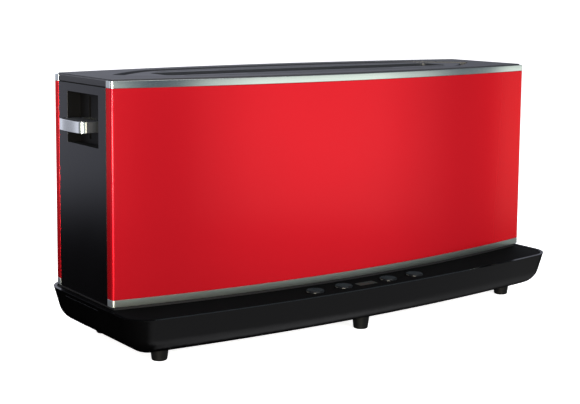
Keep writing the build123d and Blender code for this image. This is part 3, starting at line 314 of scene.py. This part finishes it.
def rolled_steel(name, hex_colour, roughness, spangle):
    """Zinc or aluminium coated strip: grey metal with soft patches where the coating froze."""
    finish, tree, bsdf = new_finish(name, metallic=1.0, roughness=roughness)
    place = add_node(tree, "ShaderNodeTexCoord").outputs["Object"]
    cells = add_node(tree, "ShaderNodeTexVoronoi", {"Vector": place, "Scale": 1 / spangle})
    colour = linear(hex_colour)
    mix = add_node(tree, "ShaderNodeMix", {"Factor": cells.outputs["Distance"], "A": shade(colour, 0.8),
                                           "B": shade(colour, 1.1)}, data_type="RGBA")
    tree.links.new(mix.outputs["Result"], bsdf.inputs["Base Color"])
    rough = add_node(tree, "ShaderNodeMapRange", {"Value": cells.outputs["Distance"],
                                                  "To Min": roughness - 0.06, "To Max": roughness + 0.08})
    tree.links.new(rough.outputs["Result"], bsdf.inputs["Roughness"])
    return finish


def mica_sheet():
    """Pressed mica: silvery buff flakes with a soft pearly sheen."""
    finish, tree, bsdf = new_finish("Mica sheet, pressed flake", roughness=0.45, ior=1.58, metallic=0.15)
    place = add_node(tree, "ShaderNodeTexCoord").outputs["Object"]
    flakes = add_node(tree, "ShaderNodeTexVoronoi", {"Vector": place, "Scale": 1 / (5 * MM)})
    ramp = add_node(tree, "ShaderNodeMix", {"Factor": flakes.outputs["Color"], "A": rgba(linear("8E8371")),
                                            "B": rgba(linear("B8AE98"))}, data_type="RGBA")
    tree.links.new(ramp.outputs["Result"], bsdf.inputs["Base Color"])
    return finish


def heated_ribbon():
    """Nickel-chromium ribbon, rolled flat and heat darkened: straw to grey-brown along its length."""
    finish, tree, bsdf = new_finish("Nickel chromium ribbon, heat darkened", metallic=1.0, roughness=0.42)
    place = add_node(tree, "ShaderNodeTexCoord").outputs["Object"]
    bands = add_node(tree, "ShaderNodeTexNoise", {"Vector": place, "Scale": 1 / (25 * MM), "Detail": 2.0})
    mix = add_node(tree, "ShaderNodeMix", {"Factor": bands.outputs["Fac"], "A": rgba(linear("6B6258")),
                                           "B": rgba(linear("9A8C7A"))}, data_type="RGBA")
    tree.links.new(mix.outputs["Result"], bsdf.inputs["Base Color"])
    return finish


def circuit_laminate():
    """Glass-epoxy board under green solder mask, with the weave just showing."""
    finish, tree, bsdf = new_finish("Glass epoxy board, solder masked", roughness=0.35, ior=1.55)
    place = add_node(tree, "ShaderNodeTexCoord").outputs["Object"]
    weave = add_node(tree, "ShaderNodeTexChecker", {"Vector": place, "Scale": 1 / (1.2 * MM),
                                                    "Color1": rgba(linear("1F4A2C")),
                                                    "Color2": rgba(linear("245434"))})
    tree.links.new(weave.outputs["Color"], bsdf.inputs["Base Color"])
    return finish


def smoked_acrylic():
    """Smoked acrylic pane, polished: almost black, with a clear surface and a warm tint beneath."""
    finish, tree, bsdf = new_finish("Smoked acrylic, polished", roughness=0.08, ior=1.49)
    place = add_node(tree, "ShaderNodeTexCoord").outputs["Object"]
    depth = add_node(tree, "ShaderNodeTexNoise", {"Vector": place, "Scale": 1 / (6 * MM), "Detail": 1.0})
    mix = add_node(tree, "ShaderNodeMix", {"Factor": depth.outputs["Fac"], "A": rgba(linear("16140C")),
                                           "B": rgba(linear("2E2A18"))}, data_type="RGBA")
    tree.links.new(mix.outputs["Result"], bsdf.inputs["Base Color"])
    return finish


def all_finishes():
    """Every finish by the record's slot, made once."""
    look = settings()
    return {
        "red_paint": candy_lacquer(),
        "bright_trim": brushed_aluminium("Brushed aluminium, anodised", look.trim_colour, 0.08, 0.15),
        # the bottom strips are the same aluminium as the top trims: their colour is darkened to 0.72 of it as
        # painted shade, and they are rougher
        "bottom_trim": brushed_aluminium("Brushed aluminium, coarse, darkened as painted shade",
                                         shade(look.trim_colour, 0.72), 0.34, 0.42),
        "cap_plastic": moulded_plastic("Glass-filled polyester, moulded satin", look.cap_colour, 0.14,
                                       0.6 * MM, 0.004 * MM, 0.04),
        "recess_plastic": moulded_plastic("Glass-filled polyester, spark-eroded recess", look.cap_colour, 0.6,
                                          0.6 * MM, 0.02 * MM, gloss=0.25),
        "cover_plastic": moulded_plastic("Phenolic top, moulded matt", look.cover_colour, 0.46, 0.7 * MM,
                                         0.03 * MM),
        "rack_steel": moulded_plastic("Steel rack, stove enamelled grey", look.rack_colour, 0.4, 0.9 * MM,
                                      0.02 * MM),
        "deck": moulded_plastic("ABS deck, spark-eroded matt", look.base_colour, 0.75, 0.6 * MM, 0.03 * MM,
                                gloss=0.1),
        "base_plastic": moulded_plastic("ABS base, moulded gloss", look.base_colour, 0.2, 0.5 * MM,
                                        0.005 * MM, 0.04),
        "inner_plastic": moulded_plastic("Polypropylene floor, moulded", linear("1A1A1C"), 0.5, 0.8 * MM,
                                         0.02 * MM),
        "foot_rubber": moulded_plastic("Nitrile rubber, moulded", linear("0B0B0C"), 0.55, 0.5 * MM,
                                       0.02 * MM, gloss=0.3),
        "button_plastic": moulded_plastic("Button ABS, polished mould", linear("0D0E10"), 0.2, 0.8 * MM,
                                          0.004 * MM),
        "grip_plastic": moulded_plastic("Lever nylon, moulded", linear("3A3C40"), 0.36, 0.6 * MM,
                                        0.015 * MM),
        "window_pane": smoked_acrylic(),
        "plated_steel": rolled_steel("Zinc-plated steel strip", "8F9496", 0.38, 6 * MM),
        "bright_sheet": rolled_steel("Aluminised steel reflector", "A9ADB0", 0.28, 9 * MM),
        "rod_steel": rolled_steel("Ground stainless rod", "B4B7BA", 0.2, 4 * MM),
        "tray_sheet": rolled_steel("Tinned tray sheet, pressed", "9DA1A3", 0.34, 12 * MM),
        "magnet": rolled_steel("Soft iron laminations", "5C5E60", 0.5, 3 * MM),
        "screw": rolled_steel("Screw steel, blackened", "3A3B3D", 0.4, 2 * MM),
        "mica": mica_sheet(),
        "ribbon": heated_ribbon(),
        "board": circuit_laminate(),
        "module": smoked_acrylic(),
        "chrome": chrome_plate(),
    }


FINISH = {}


# ---------------------------------------------------------------- what repeats, grown by Geometry Nodes
def ribbon_tree():
    """Flat ribbon laid to and fro: level runs, joined by short uprights at alternate ends."""
    tree, sizes = new_tree("Ribbon to and fro", Runs=9, Length=0.3, Pitch=0.012, Width=0.0024,
                           Thickness=0.0004)
    runs, length, pitch = sizes["Runs"], sizes["Length"], sizes["Pitch"]
    width, thickness = sizes["Width"], sizes["Thickness"]
    heights = add_node(tree, "GeometryNodeMeshLine", {"Count": runs, "Offset": vector(tree, z=pitch)})
    run = add_node(tree, "GeometryNodeMeshCube", {"Size": vector(tree, length, thickness, width)})
    level = add_node(tree, "GeometryNodeInstanceOnPoints", {"Points": heights.outputs[0],
                                                            "Instance": run.outputs[0]})
    end = number(tree, "MULTIPLY", number(tree, "SUBTRACT", length, width), 0.5)
    turns = add_node(tree, "GeometryNodeMeshLine", {"Count": number(tree, "SUBTRACT", runs, 1.0),
                                                    "Start Location": vector(tree, z=number(tree, "MULTIPLY",
                                                                                            pitch, 0.5)),
                                                    "Offset": vector(tree, z=pitch)})
    order = add_node(tree, "GeometryNodeInputIndex").outputs[0]
    side = number(tree, "SUBTRACT", number(tree, "MULTIPLY", number(tree, "MODULO", order, 2.0), 2.0), 1.0)
    alternate = add_node(tree, "GeometryNodeSetPosition", {
        "Geometry": turns.outputs[0], "Offset": vector(tree, x=number(tree, "MULTIPLY", side, end))})
    rise = add_node(tree, "GeometryNodeMeshCube", {
        "Size": vector(tree, width, thickness, number(tree, "SUBTRACT", pitch, width))})
    upright = add_node(tree, "GeometryNodeInstanceOnPoints", {"Points": alternate.outputs[0],
                                                              "Instance": rise.outputs[0]})
    end_tree(tree, FINISH["ribbon"], level.outputs[0], upright.outputs[0])
    return tree


def round_wire(tree, start, end, radius):
    """A straight round wire with closed ends."""
    line = add_node(tree, "GeometryNodeCurvePrimitiveLine", {"Start": start, "End": end})
    ring = add_node(tree, "GeometryNodeCurvePrimitiveCircle", {"Resolution": 10, "Radius": radius})
    return add_node(tree, "GeometryNodeCurveToMesh", {"Curve": line.outputs[0],
                                                      "Profile Curve": ring.outputs[0],
                                                      "Fill Caps": True}).outputs[0]


def guard_tree():
    """A welded grid: upright round wires at an even pitch between pairs of long round wires."""
    tree, sizes = new_tree("Welded wire guard", Wires=14, Pitch=0.023, Length=0.3, Height=0.14,
                           Diameter=0.0018, Rail=0.005)
    radius = number(tree, "MULTIPLY", sizes["Diameter"], 0.5)
    reach = number(tree, "MULTIPLY", sizes["Length"], 0.5)
    back = number(tree, "MULTIPLY", reach, -1.0)
    first = number(tree, "MULTIPLY", number(tree, "MULTIPLY", number(tree, "SUBTRACT", sizes["Wires"], 1.0),
                                            sizes["Pitch"]), -0.5)
    places = add_node(tree, "GeometryNodeMeshLine", {"Count": sizes["Wires"],
                                                     "Start Location": vector(tree, x=first),
                                                     "Offset": vector(tree, x=sizes["Pitch"])})
    upright = round_wire(tree, vector(tree), vector(tree, z=sizes["Height"]), radius)
    uprights = add_node(tree, "GeometryNodeInstanceOnPoints", {"Points": places.outputs[0],
                                                               "Instance": upright})
    top = number(tree, "SUBTRACT", sizes["Height"], radius)
    apart = number(tree, "SUBTRACT", sizes["Rail"], sizes["Diameter"])
    rails = []
    for height in (radius, number(tree, "ADD", radius, apart), top, number(tree, "SUBTRACT", top, apart)):
        start, end = vector(tree, x=back, z=height), vector(tree, x=reach, z=height)
        rails.append(round_wire(tree, start, end, radius))
    end_tree(tree, FINISH["plated_steel"], uprights.outputs[0], *rails)
    return tree


def screw_tree():
    """A cross-recessed pan-head screw, head down, on every point."""
    tree, sizes = new_tree("Cross-recessed screw", takes_points=True, Head=0.0032, Depth=0.0018,
                           Shank=0.0018, Length=0.02)
    head, depth = sizes["Head"], sizes["Depth"]
    half = number(tree, "MULTIPLY", depth, 0.5)
    crown = add_node(tree, "GeometryNodeMeshCone", {"Vertices": 28, "Radius Top": head,
                                                    "Radius Bottom": number(tree, "MULTIPLY", head, 0.72),
                                                    "Depth": half})
    rim = add_node(tree, "GeometryNodeMeshCylinder", {"Vertices": 28, "Radius": head, "Depth": half})
    lifted = add_node(tree, "GeometryNodeTransform", {
        "Geometry": rim.outputs[0], "Translation": vector(tree, z=number(tree, "MULTIPLY", depth, 0.75))})
    whole = add_node(tree, "GeometryNodeMeshBoolean", operation="UNION")
    tree.links.new(crown.outputs[0], whole.inputs["Mesh 2"])
    tree.links.new(lifted.outputs[0], whole.inputs["Mesh 2"])
    long_side, short_side = number(tree, "MULTIPLY", head, 1.15), number(tree, "MULTIPLY", head, 0.28)
    cut = add_node(tree, "GeometryNodeMeshBoolean", {"Mesh 1": whole.outputs["Mesh"]}, operation="DIFFERENCE")
    for size in (vector(tree, long_side, short_side, depth), vector(tree, short_side, long_side, depth)):
        bar = add_node(tree, "GeometryNodeMeshCube", {"Size": size})
        tree.links.new(bar.outputs[0], cut.inputs["Mesh 2"])
    shank = add_node(tree, "GeometryNodeMeshCylinder", {"Vertices": 16, "Radius": sizes["Shank"],
                                                        "Depth": sizes["Length"]})
    stem_place = number(tree, "ADD", depth, number(tree, "MULTIPLY", sizes["Length"], 0.5))
    stem = add_node(tree, "GeometryNodeTransform", {"Geometry": shank.outputs[0],
                                                    "Translation": vector(tree, z=stem_place)})
    one = add_node(tree, "GeometryNodeJoinGeometry")
    tree.links.new(cut.outputs["Mesh"], one.inputs[0])
    tree.links.new(stem.outputs[0], one.inputs[0])
    screws = add_node(tree, "GeometryNodeInstanceOnPoints", {"Points": sizes["Geometry"],
                                                             "Instance": one.outputs[0]})
    end_tree(tree, FINISH["screw"], screws.outputs[0])
    return tree


# ---------------------------------------------------------------- sizes and colours a user may change
class ToasterSettings(bpy.types.PropertyGroup):
    panel_colour: FloatVectorProperty(name="Panel", description="Lacquer on the two bowed panels",
                                      subtype="COLOR", default=linear("E61E2B"))
    trim_colour: FloatVectorProperty(name="Trims", description="Bright strips above and below the panels",
                                     subtype="COLOR", default=linear("E2E8E2"))
    cap_colour: FloatVectorProperty(name="End caps", description="Moulded ends", subtype="COLOR",
                                    default=linear("0A0A0C"))
    cover_colour: FloatVectorProperty(name="Top cover", description="Moulded top", subtype="COLOR",
                                      default=linear("2A2B30"))
    rack_colour: FloatVectorProperty(name="Rack", description="Curved bars round the slot", subtype="COLOR",
                                     default=linear("25272B"))
    base_colour: FloatVectorProperty(name="Base", description="Wide base and its deck", subtype="COLOR",
                                     default=linear("060607"))
    sheet_edge: FloatProperty(name="Sheet edge", description="Rounding of cut sheet edges",
                              subtype="DISTANCE", unit="LENGTH", default=0.25 * MM, min=0.0)
    moulded_edge: FloatProperty(name="Moulded edge", description="Rounding of moulded edges",
                                subtype="DISTANCE", unit="LENGTH", default=0.5 * MM, min=0.0)
    lever_back: FloatProperty(name="Lever back half", description="From the lever's middle to its back end",
                              subtype="DISTANCE", unit="LENGTH", default=14.5 * MM, min=0.005)
    guard_wire: FloatProperty(name="Guard wire", description="Diameter of the bread guards' wires",
                              subtype="DISTANCE", unit="LENGTH", default=1.8 * MM, min=0.0005)
    guard_wires: IntProperty(name="Guard wires", description="Upright wires in each guard", default=14, min=2)
    guard_rail: FloatProperty(name="Guard rail", description="Height of a guard's pair of long wires",
                              subtype="DISTANCE", unit="LENGTH", default=5.0 * MM, min=0.002)
    ribbon_width: FloatProperty(name="Ribbon width", description="Width of the heating ribbon",
                                subtype="DISTANCE", unit="LENGTH", default=2.4 * MM, min=0.0005)
    screw_head: FloatProperty(name="Screw head", description="Diameter of a deck screw's head",
                              subtype="DISTANCE", unit="LENGTH", default=6.4 * MM, min=0.001)
    screw_depth: FloatProperty(name="Head depth", description="Depth of a deck screw's head",
                               subtype="DISTANCE", unit="LENGTH", default=1.8 * MM, min=0.0005)
    screw_shank: FloatProperty(name="Screw shank", description="Diameter of a deck screw's shank",
                               subtype="DISTANCE", unit="LENGTH", default=3.6 * MM, min=0.001)
    ribbon_rows: IntProperty(name="Ribbon rows", description="Runs of heating ribbon on each board",
                             default=9, min=2)


class ToasterOperator:
    bl_options = {"REGISTER", "UNDO"}


class TOASTER_OT_finishes(ToasterOperator, bpy.types.Operator):
    """Make every finish and give each node of the frame its own"""

    bl_idname = "toaster.finishes"
    bl_label = "Finishes"

    def execute(self, context):
        FINISH.update(all_finishes())
        for node, slot in SLOT_OF.items():
            dressed(frame["nodes"][node].data, FINISH[slot])
        return {"FINISHED"}


class TOASTER_OT_body(ToasterOperator, bpy.types.Operator):
    """Bowed panels, bright trims and moulded end caps with eased edges"""

    bl_idname = "toaster.body"
    bl_label = "Panels, trims and ends"

    def execute(self, context):
        sheet, moulded = settings().sheet_edge, settings().moulded_edge
        for side in ("front", "back"):
            panel = eased_copy(f"{side}_panel", FINISH["red_paint"], sheet)
            eased_copy(f"{side}_top_trim", FINISH["bright_trim"], sheet)
            strip = eased_copy(f"{side}_bottom_trim", FINISH["bottom_trim"], sheet)
            # the glossy black base stays free of their reflections
            panel.visible_glossy = strip.visible_glossy = False
        eased_copy("plain_end_cap", FINISH["cap_plastic"], moulded)
        cap = eased_copy("lever_end_cap", FINISH["cap_plastic"], moulded)
        cap.data.materials.append(FINISH["recess_plastic"])
        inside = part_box("lever_end_cap")[0].x + 2 * moulded
        for face in cap.data.polygons:
            face.material_index = int(face.center.x > inside)
        return {"FINISHED"}


class TOASTER_OT_top(ToasterOperator, bpy.types.Operator):
    """Top cover and the rack of curved bars"""

    bl_idname = "toaster.top"
    bl_label = "Top and rack"

    def execute(self, context):
        eased_copy("top_cover", FINISH["cover_plastic"], settings().moulded_edge)
        eased_copy("bun_rack", FINISH["rack_steel"], settings().moulded_edge)
        return {"FINISHED"}


class TOASTER_OT_base(ToasterOperator, bpy.types.Operator):
    """Base, deck, body floor, tray front and feet"""

    bl_idname = "toaster.base"
    bl_label = "Base and tray"

    def execute(self, context):
        moulded = settings().moulded_edge
        eased_copy("base_shell", FINISH["base_plastic"], moulded / 2)
        eased_copy("control_deck", FINISH["deck"], moulded / 2)
        eased_copy("body_floor", FINISH["inner_plastic"], moulded / 2)
        eased_copy("crumb_tray_front", FINISH["base_plastic"], moulded / 2)
        for node in frame["nodes"]:
            if node.startswith("foot_"):
                eased_copy(node, FINISH["foot_rubber"], moulded / 2)
        return {"FINISHED"}


class TOASTER_OT_elements(ToasterOperator, bpy.types.Operator):
    """Ribbon laid to and fro on each mica board"""

    bl_idname = "toaster.elements"
    bl_label = "Heating ribbon"

    def execute(self, context):
        tree = ribbon_tree()
        runs = settings().ribbon_rows
        for side in ("front", "back"):
            node = f"{side}_heating_ribbon"
            low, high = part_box(node)
            width = settings().ribbon_width
            middle = ((low.x + high.x) / 2, (low.y + high.y) / 2, low.z + width / 2)
            piece = grown(f"{side}_ribbon_winding", tree, [], middle, Runs=runs, Length=high.x - low.x,
                          Pitch=(high.z - low.z - width) / (runs - 1), Width=width,
                          Thickness=high.y - low.y)
            stand_for(piece, node)
        return {"FINISHED"}


class TOASTER_OT_guards(ToasterOperator, bpy.types.Operator):
    """Welded round-wire guards that keep bread off the elements"""

    bl_idname = "toaster.guards"
    bl_label = "Bread guards"

    def execute(self, context):
        tree = guard_tree()
        wires, diameter = settings().guard_wires, settings().guard_wire
        for side in ("front", "back"):
            node = f"{side}_bread_guard"
            low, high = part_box(node)
            length = high.x - low.x
            middle = ((low.x + high.x) / 2, (low.y + high.y) / 2, low.z)
            piece = grown(f"{side}_wire_guard", tree, [], middle, Wires=wires, Pitch=length / (wires - 0.5),
                          Length=length, Height=high.z - low.z, Diameter=diameter,
                          Rail=settings().guard_rail)
            stand_for(piece, node)
        return {"FINISHED"}


class TOASTER_OT_screws(ToasterOperator, bpy.types.Operator):
    """Cross-recessed screws up through the base into the deck"""

    bl_idname = "toaster.screws"
    bl_label = "Deck screws"

    def execute(self, context):
        look = settings()
        low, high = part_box("deck_screws")
        head = look.screw_head / 2
        places = [(x, y, low.z) for x in (low.x + head, high.x - head) for y in (low.y + head, high.y - head)]
        piece = grown("deck_cross_screws", screw_tree(), places, (0, 0, 0), Head=head,
                      Depth=look.screw_depth, Shank=look.screw_shank / 2,
                      Length=high.z - low.z - look.screw_depth)
        stand_for(piece, "deck_screws")
        return {"FINISHED"}


class TOASTER_OT_lever(ToasterOperator, bpy.types.Operator):
    """Lever with its bright band and moulded grip"""

    bl_idname = "toaster.lever"
    bl_label = "Lever"

    def execute(self, context):
        low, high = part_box("lever_band")
        middle = (low.y + high.y) / 2
        squeeze = settings().lever_back / (high.y - middle)
        band = eased_copy("lever_band", FINISH["chrome"], settings().moulded_edge, 3)
        grip = eased_copy("lever_grip", FINISH["grip_plastic"], settings().moulded_edge)
        for piece in (band, grip):
            piece.visible_glossy = False  # nor does the end cap mirror the lever
            for corner in piece.data.vertices:
                corner.co.y = min(corner.co.y, middle + (corner.co.y - middle) * squeeze)
        return {"FINISHED"}


class TOASTER_OT_spring(ToasterOperator, bpy.types.Operator):
    """Return spring, a welded copy with smooth-shaded coils"""

    bl_idname = "toaster.spring"
    bl_label = "Return spring"

    def execute(self, context):
        spring = welded_copy("return_spring", "return_spring_coils")
        smooth_faces(spring.data)
        dressed(spring.data, FINISH[SLOT_OF["return_spring"]])
        stand_for(spring, "return_spring")
        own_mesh(spring)
        return {"FINISHED"}


class TOASTER_OT_controls(ToasterOperator, bpy.types.Operator):
    """Push buttons and the display pane"""

    bl_idname = "toaster.controls"
    bl_label = "Buttons and display"

    def execute(self, context):
        for node in frame["nodes"]:
            if node.startswith("button_"):
                eased_copy(node, FINISH["button_plastic"], settings().moulded_edge / 2, 3)
        eased_copy("display_window", FINISH["window_pane"], settings().sheet_edge)
        return {"FINISHED"}


# ---------------------------------------------------------------- stage
# The surround in parts: brightness by bearing in degrees, 0 straight in front and 90 towards the
# plain end, its tint, and a factor by height, from -1 straight down to 1 straight up.
DOME = (
    ([(-180, 0.0), (-100, 0.0), (-75, 0.5), (-14, 1.1), (2, 1.1), (9, 0.05), (13, 0.08), (19, 0.72),
      (25, 1.08), (42, 1.12), (48, 0.7), (57, 0.15), (62, 0.2), (67, 1.05), (95, 0.8), (120, 0.0),
      (180, 0.0)], (0.95, 1.0, 0.92),
     [(-1.0, 0.0), (-0.28, 0.04), (-0.205, 0.08), (-0.165, 0.95), (-0.13, 1.05), (-0.075, 0.93),
      (0.0, 0.4), (0.08, 0.14), (1.0, 0.15)]),
    ([(-180, 0.85), (-168, 1.0), (-160, 0.62), (-152, 0.52), (-146, 0.54), (-138, 1.1), (-120, 0.9),
      (-100, 0.35), (-85, 0.0), (100, 0.0), (125, 0.3), (180, 0.85)], (0.9, 0.93, 1.1),
     [(-1.0, 0.0), (-0.195, 0.0), (-0.14, 0.93), (0.0, 1.0), (1.0, 1.0)]),
    ([(-180, 0.0), (-40, 0.0), (0, 0.34), (90, 0.34), (130, 0.0), (180, 0.0)], (1.0, 1.0, 1.04),
     [(-1.0, 0.0), (-0.96, 0.0), (-0.9, 1.0), (-0.82, 1.0), (-0.7, 0.5), (-0.5, 0.45), (-0.36, 0.0),
      (1.0, 0.0)]),
    ([(-180, 0.0), (-110, 0.0), (-60, 0.09), (110, 0.09), (140, 0.0), (180, 0.0)], (0.6, 0.85, 1.25),
     [(-1.0, 0.0), (-0.32, 0.0), (-0.2, 1.0), (0.1, 1.0), (0.5, 0.5), (1.0, 0.5)]),
    ([(-180, 0.0), (-54, 0.0), (-46, 1.0), (-30, 1.0), (-22, 0.0), (180, 0.0)], (30.0, 28.0, 23.0),
     [(-1.0, 0.0), (-0.19, 0.0), (-0.13, 1.0), (0.05, 1.0), (0.2, 0.3), (0.4, 0.0), (1.0, 0.0)]),
)


def level_ramp(tree, place, levels, tint):
    """Brightness that follows stops of place and level, in a tint."""
    ramp = add_node(tree, "ShaderNodeValToRGB", {"Fac": place})
    ramp.color_ramp.interpolation = "EASE"
    stops = ramp.color_ramp.elements
    while len(stops) < len(levels):
        stops.new(0.5)
    for stop, (position, level) in zip(stops, levels):
        stop.position = position
        stop.color = (level * tint[0], level * tint[1], level * tint[2], 1.0)
    return ramp.outputs["Color"]


def studio_dome():
    """Soft studio surround: pale where the camera looks, and for the object a dim room with tall soft
    panels of light in front that reach below the table's edge, and a pale wall behind that ends
    just under it."""
    world = bpy.data.worlds.new("Studio surround")
    bpy.context.scene.world = world
    world.use_nodes = True
    tree = world.node_tree
    tree.nodes.clear()
    direction = add_node(tree, "ShaderNodeTexCoord").outputs["Generated"]
    axes = add_node(tree, "ShaderNodeSeparateXYZ", {"Vector": direction}).outputs
    flipped = add_node(tree, "ShaderNodeMath", {0: axes["Y"], 1: -1.0}, operation="MULTIPLY")
    turn = add_node(tree, "ShaderNodeMath", {0: axes["X"], 1: flipped.outputs[0]}, operation="ARCTAN2")
    share = add_node(tree, "ShaderNodeMapRange", {"Value": turn.outputs[0], "From Min": -math.pi,
                                                  "From Max": math.pi})
    rise = add_node(tree, "ShaderNodeMapRange", {"Value": axes["Z"], "From Min": -1.0, "From Max": 1.0})
    parts = []
    for bearings, tint, heights in DOME:
        around = level_ramp(tree, share.outputs["Result"], [(b / 360 + 0.5, v) for b, v in bearings], tint)
        up = level_ramp(tree, rise.outputs["Result"], [(z / 2 + 0.5, v) for z, v in heights], (1, 1, 1))
        lit = add_node(tree, "ShaderNodeMix", {"Factor": 1.0, "A": around, "B": up}, data_type="RGBA",
                       blend_type="MULTIPLY")
        parts.append(add_node(tree, "ShaderNodeBackground", {"Color": lit.outputs["Result"]}).outputs[0])
    room = parts[0]
    for part in parts[1:]:
        room = add_node(tree, "ShaderNodeAddShader", {0: room, 1: part}).outputs[0]
    pale = add_node(tree, "ShaderNodeBackground", {"Color": (1.0, 1.0, 1.0, 1.0), "Strength": 1.1})
    seen = add_node(tree, "ShaderNodeLightPath").outputs["Is Camera Ray"]
    both = add_node(tree, "ShaderNodeMixShader", {"Fac": seen})
    tree.links.new(room, both.inputs[1])
    tree.links.new(pale.outputs[0], both.inputs[2])
    add_node(tree, "ShaderNodeOutputWorld", {"Surface": both.outputs[0]})


def paper_floor():
    """Seamless pale paper that the object stands on, lit so far up that only a contact shadow shows."""
    finish, tree, bsdf = new_finish("Studio paper, matt white", roughness=0.9,
                                    base_color=rgba(linear("FAFAFA")),
                                    emission_color=(1.0, 1.0, 1.0, 1.0), emission_strength=0.84)
    place = add_node(tree, "ShaderNodeTexCoord").outputs["Object"]
    fibres = add_node(tree, "ShaderNodeTexNoise", {"Vector": place, "Scale": 1 / (3 * MM), "Detail": 2.0})
    bump = add_node(tree, "ShaderNodeBump", {"Height": fibres.outputs["Fac"], "Strength": 0.02,
                                             "Distance": 0.05 * MM})
    tree.links.new(bump.outputs["Normal"], bsdf.inputs["Normal"])
    mesh = bpy.data.meshes.new("paper_floor")
    corners = [(x * FLOOR_REACH, y * FLOOR_REACH, 0) for x, y in ((-1, -1), (1, -1), (1, 1), (-1, 1))]
    mesh.from_pydata(corners, [], [(0, 1, 2, 3)])
    floor = bpy.data.objects.new("paper_floor", mesh)
    bpy.context.scene.collection.objects.link(floor)
    mesh.materials.append(finish)
    floor.visible_glossy = False
    floor.visible_diffuse = False


def softbox(name, place, target, width, height, power, colour="FFFFFF", mirrored=True):
    """A rectangular soft light that faces the target, seen in reflections or not."""
    light = bpy.data.lights.new(name, "AREA")
    light.shape = "RECTANGLE"
    light.size = width
    light.size_y = height
    light.energy = power
    light.color = linear(colour)
    lamp = bpy.data.objects.new(name, light)
    lamp.location = place
    lamp.rotation_euler = (Vector(target) - Vector(place)).to_track_quat("-Z", "Y").to_euler()
    lamp.visible_glossy = mirrored
    bpy.context.scene.collection.objects.link(lamp)


def studio_camera():
    """The camera stands off the lever end, a little above the top, with a long lens."""
    camera = bpy.data.cameras.new("Studio camera")
    camera.sensor_width = 36.0
    camera.lens = 75.8
    camera.shift_y = -0.12
    camera.clip_start = 0.05
    camera.clip_end = 100.0
    stand = bpy.data.objects.new("Studio camera", camera)
    bpy.context.scene.collection.objects.link(stand)
    turn = Matrix.Rotation(math.radians(-36.05), 4, "Z") @ Matrix.Rotation(math.radians(90 - 6.59), 4, "X")
    turn = turn @ Matrix.Rotation(math.radians(0.52), 4, "Z")
    stand.matrix_world = Matrix.Translation((-0.58185, -0.7690, 0.2576)) @ turn
    bpy.context.scene.camera = stand


class TOASTER_OT_stage(ToasterOperator, bpy.types.Operator):
    """Paper floor, soft lights and camera"""

    bl_idname = "toaster.stage"
    bl_label = "Stage"

    def execute(self, context):
        studio_dome()
        paper_floor()
        softbox("Overhead softbox", (0.1, 0.1, 1.6), (0, 0, 0.1), 1.6, 1.0, 10)
        softbox("Front fill", (0.35, -2.2, 0.9), (0, 0, 0.1), 1.8, 1.2, 58, mirrored=False)
        softbox("Left strip light", (-1.35, -1.1, 0.75), (-0.2, 0, 0.15), 0.25, 1.0, 6, "FFF6E6")
        studio_camera()
        context.scene.view_settings.view_transform = "Standard"
        return {"FINISHED"}


class TOASTER_PT_panel(bpy.types.Panel):
    """Lists the toaster's pieces and settings"""

    bl_idname = "TOASTER_PT_panel"
    bl_label = "Toaster"
    bl_space_type = "VIEW_3D"
    bl_region_type = "UI"
    bl_category = "Toaster"

    def draw(self, context):
        for operator in OPERATORS:
            self.layout.operator(operator.bl_idname)
        for name in ToasterSettings.__annotations__:
            self.layout.prop(context.scene.toaster, name)


OPERATORS = (TOASTER_OT_finishes, TOASTER_OT_body, TOASTER_OT_top, TOASTER_OT_base, TOASTER_OT_elements,
             TOASTER_OT_guards, TOASTER_OT_screws, TOASTER_OT_lever, TOASTER_OT_spring, TOASTER_OT_controls,
             TOASTER_OT_stage)
CLASSES = (ToasterSettings, *OPERATORS, TOASTER_PT_panel)


def register():
    for cls in CLASSES:
        bpy.utils.register_class(cls)
    bpy.types.Scene.toaster = PointerProperty(type=ToasterSettings)


def unregister():
    del bpy.types.Scene.toaster
    for cls in reversed(CLASSES):
        bpy.utils.unregister_class(cls)


def main():
    """Builds the whole toaster."""
    register()
    bpy.ops.toaster.finishes()
    bpy.ops.toaster.body()
    bpy.ops.toaster.top()
    bpy.ops.toaster.base()
    bpy.ops.toaster.elements()
    bpy.ops.toaster.guards()
    bpy.ops.toaster.screws()
    bpy.ops.toaster.lever()
    bpy.ops.toaster.spring()
    bpy.ops.toaster.controls()
    bpy.ops.toaster.stage()


if __name__ == "__main__":
    main()
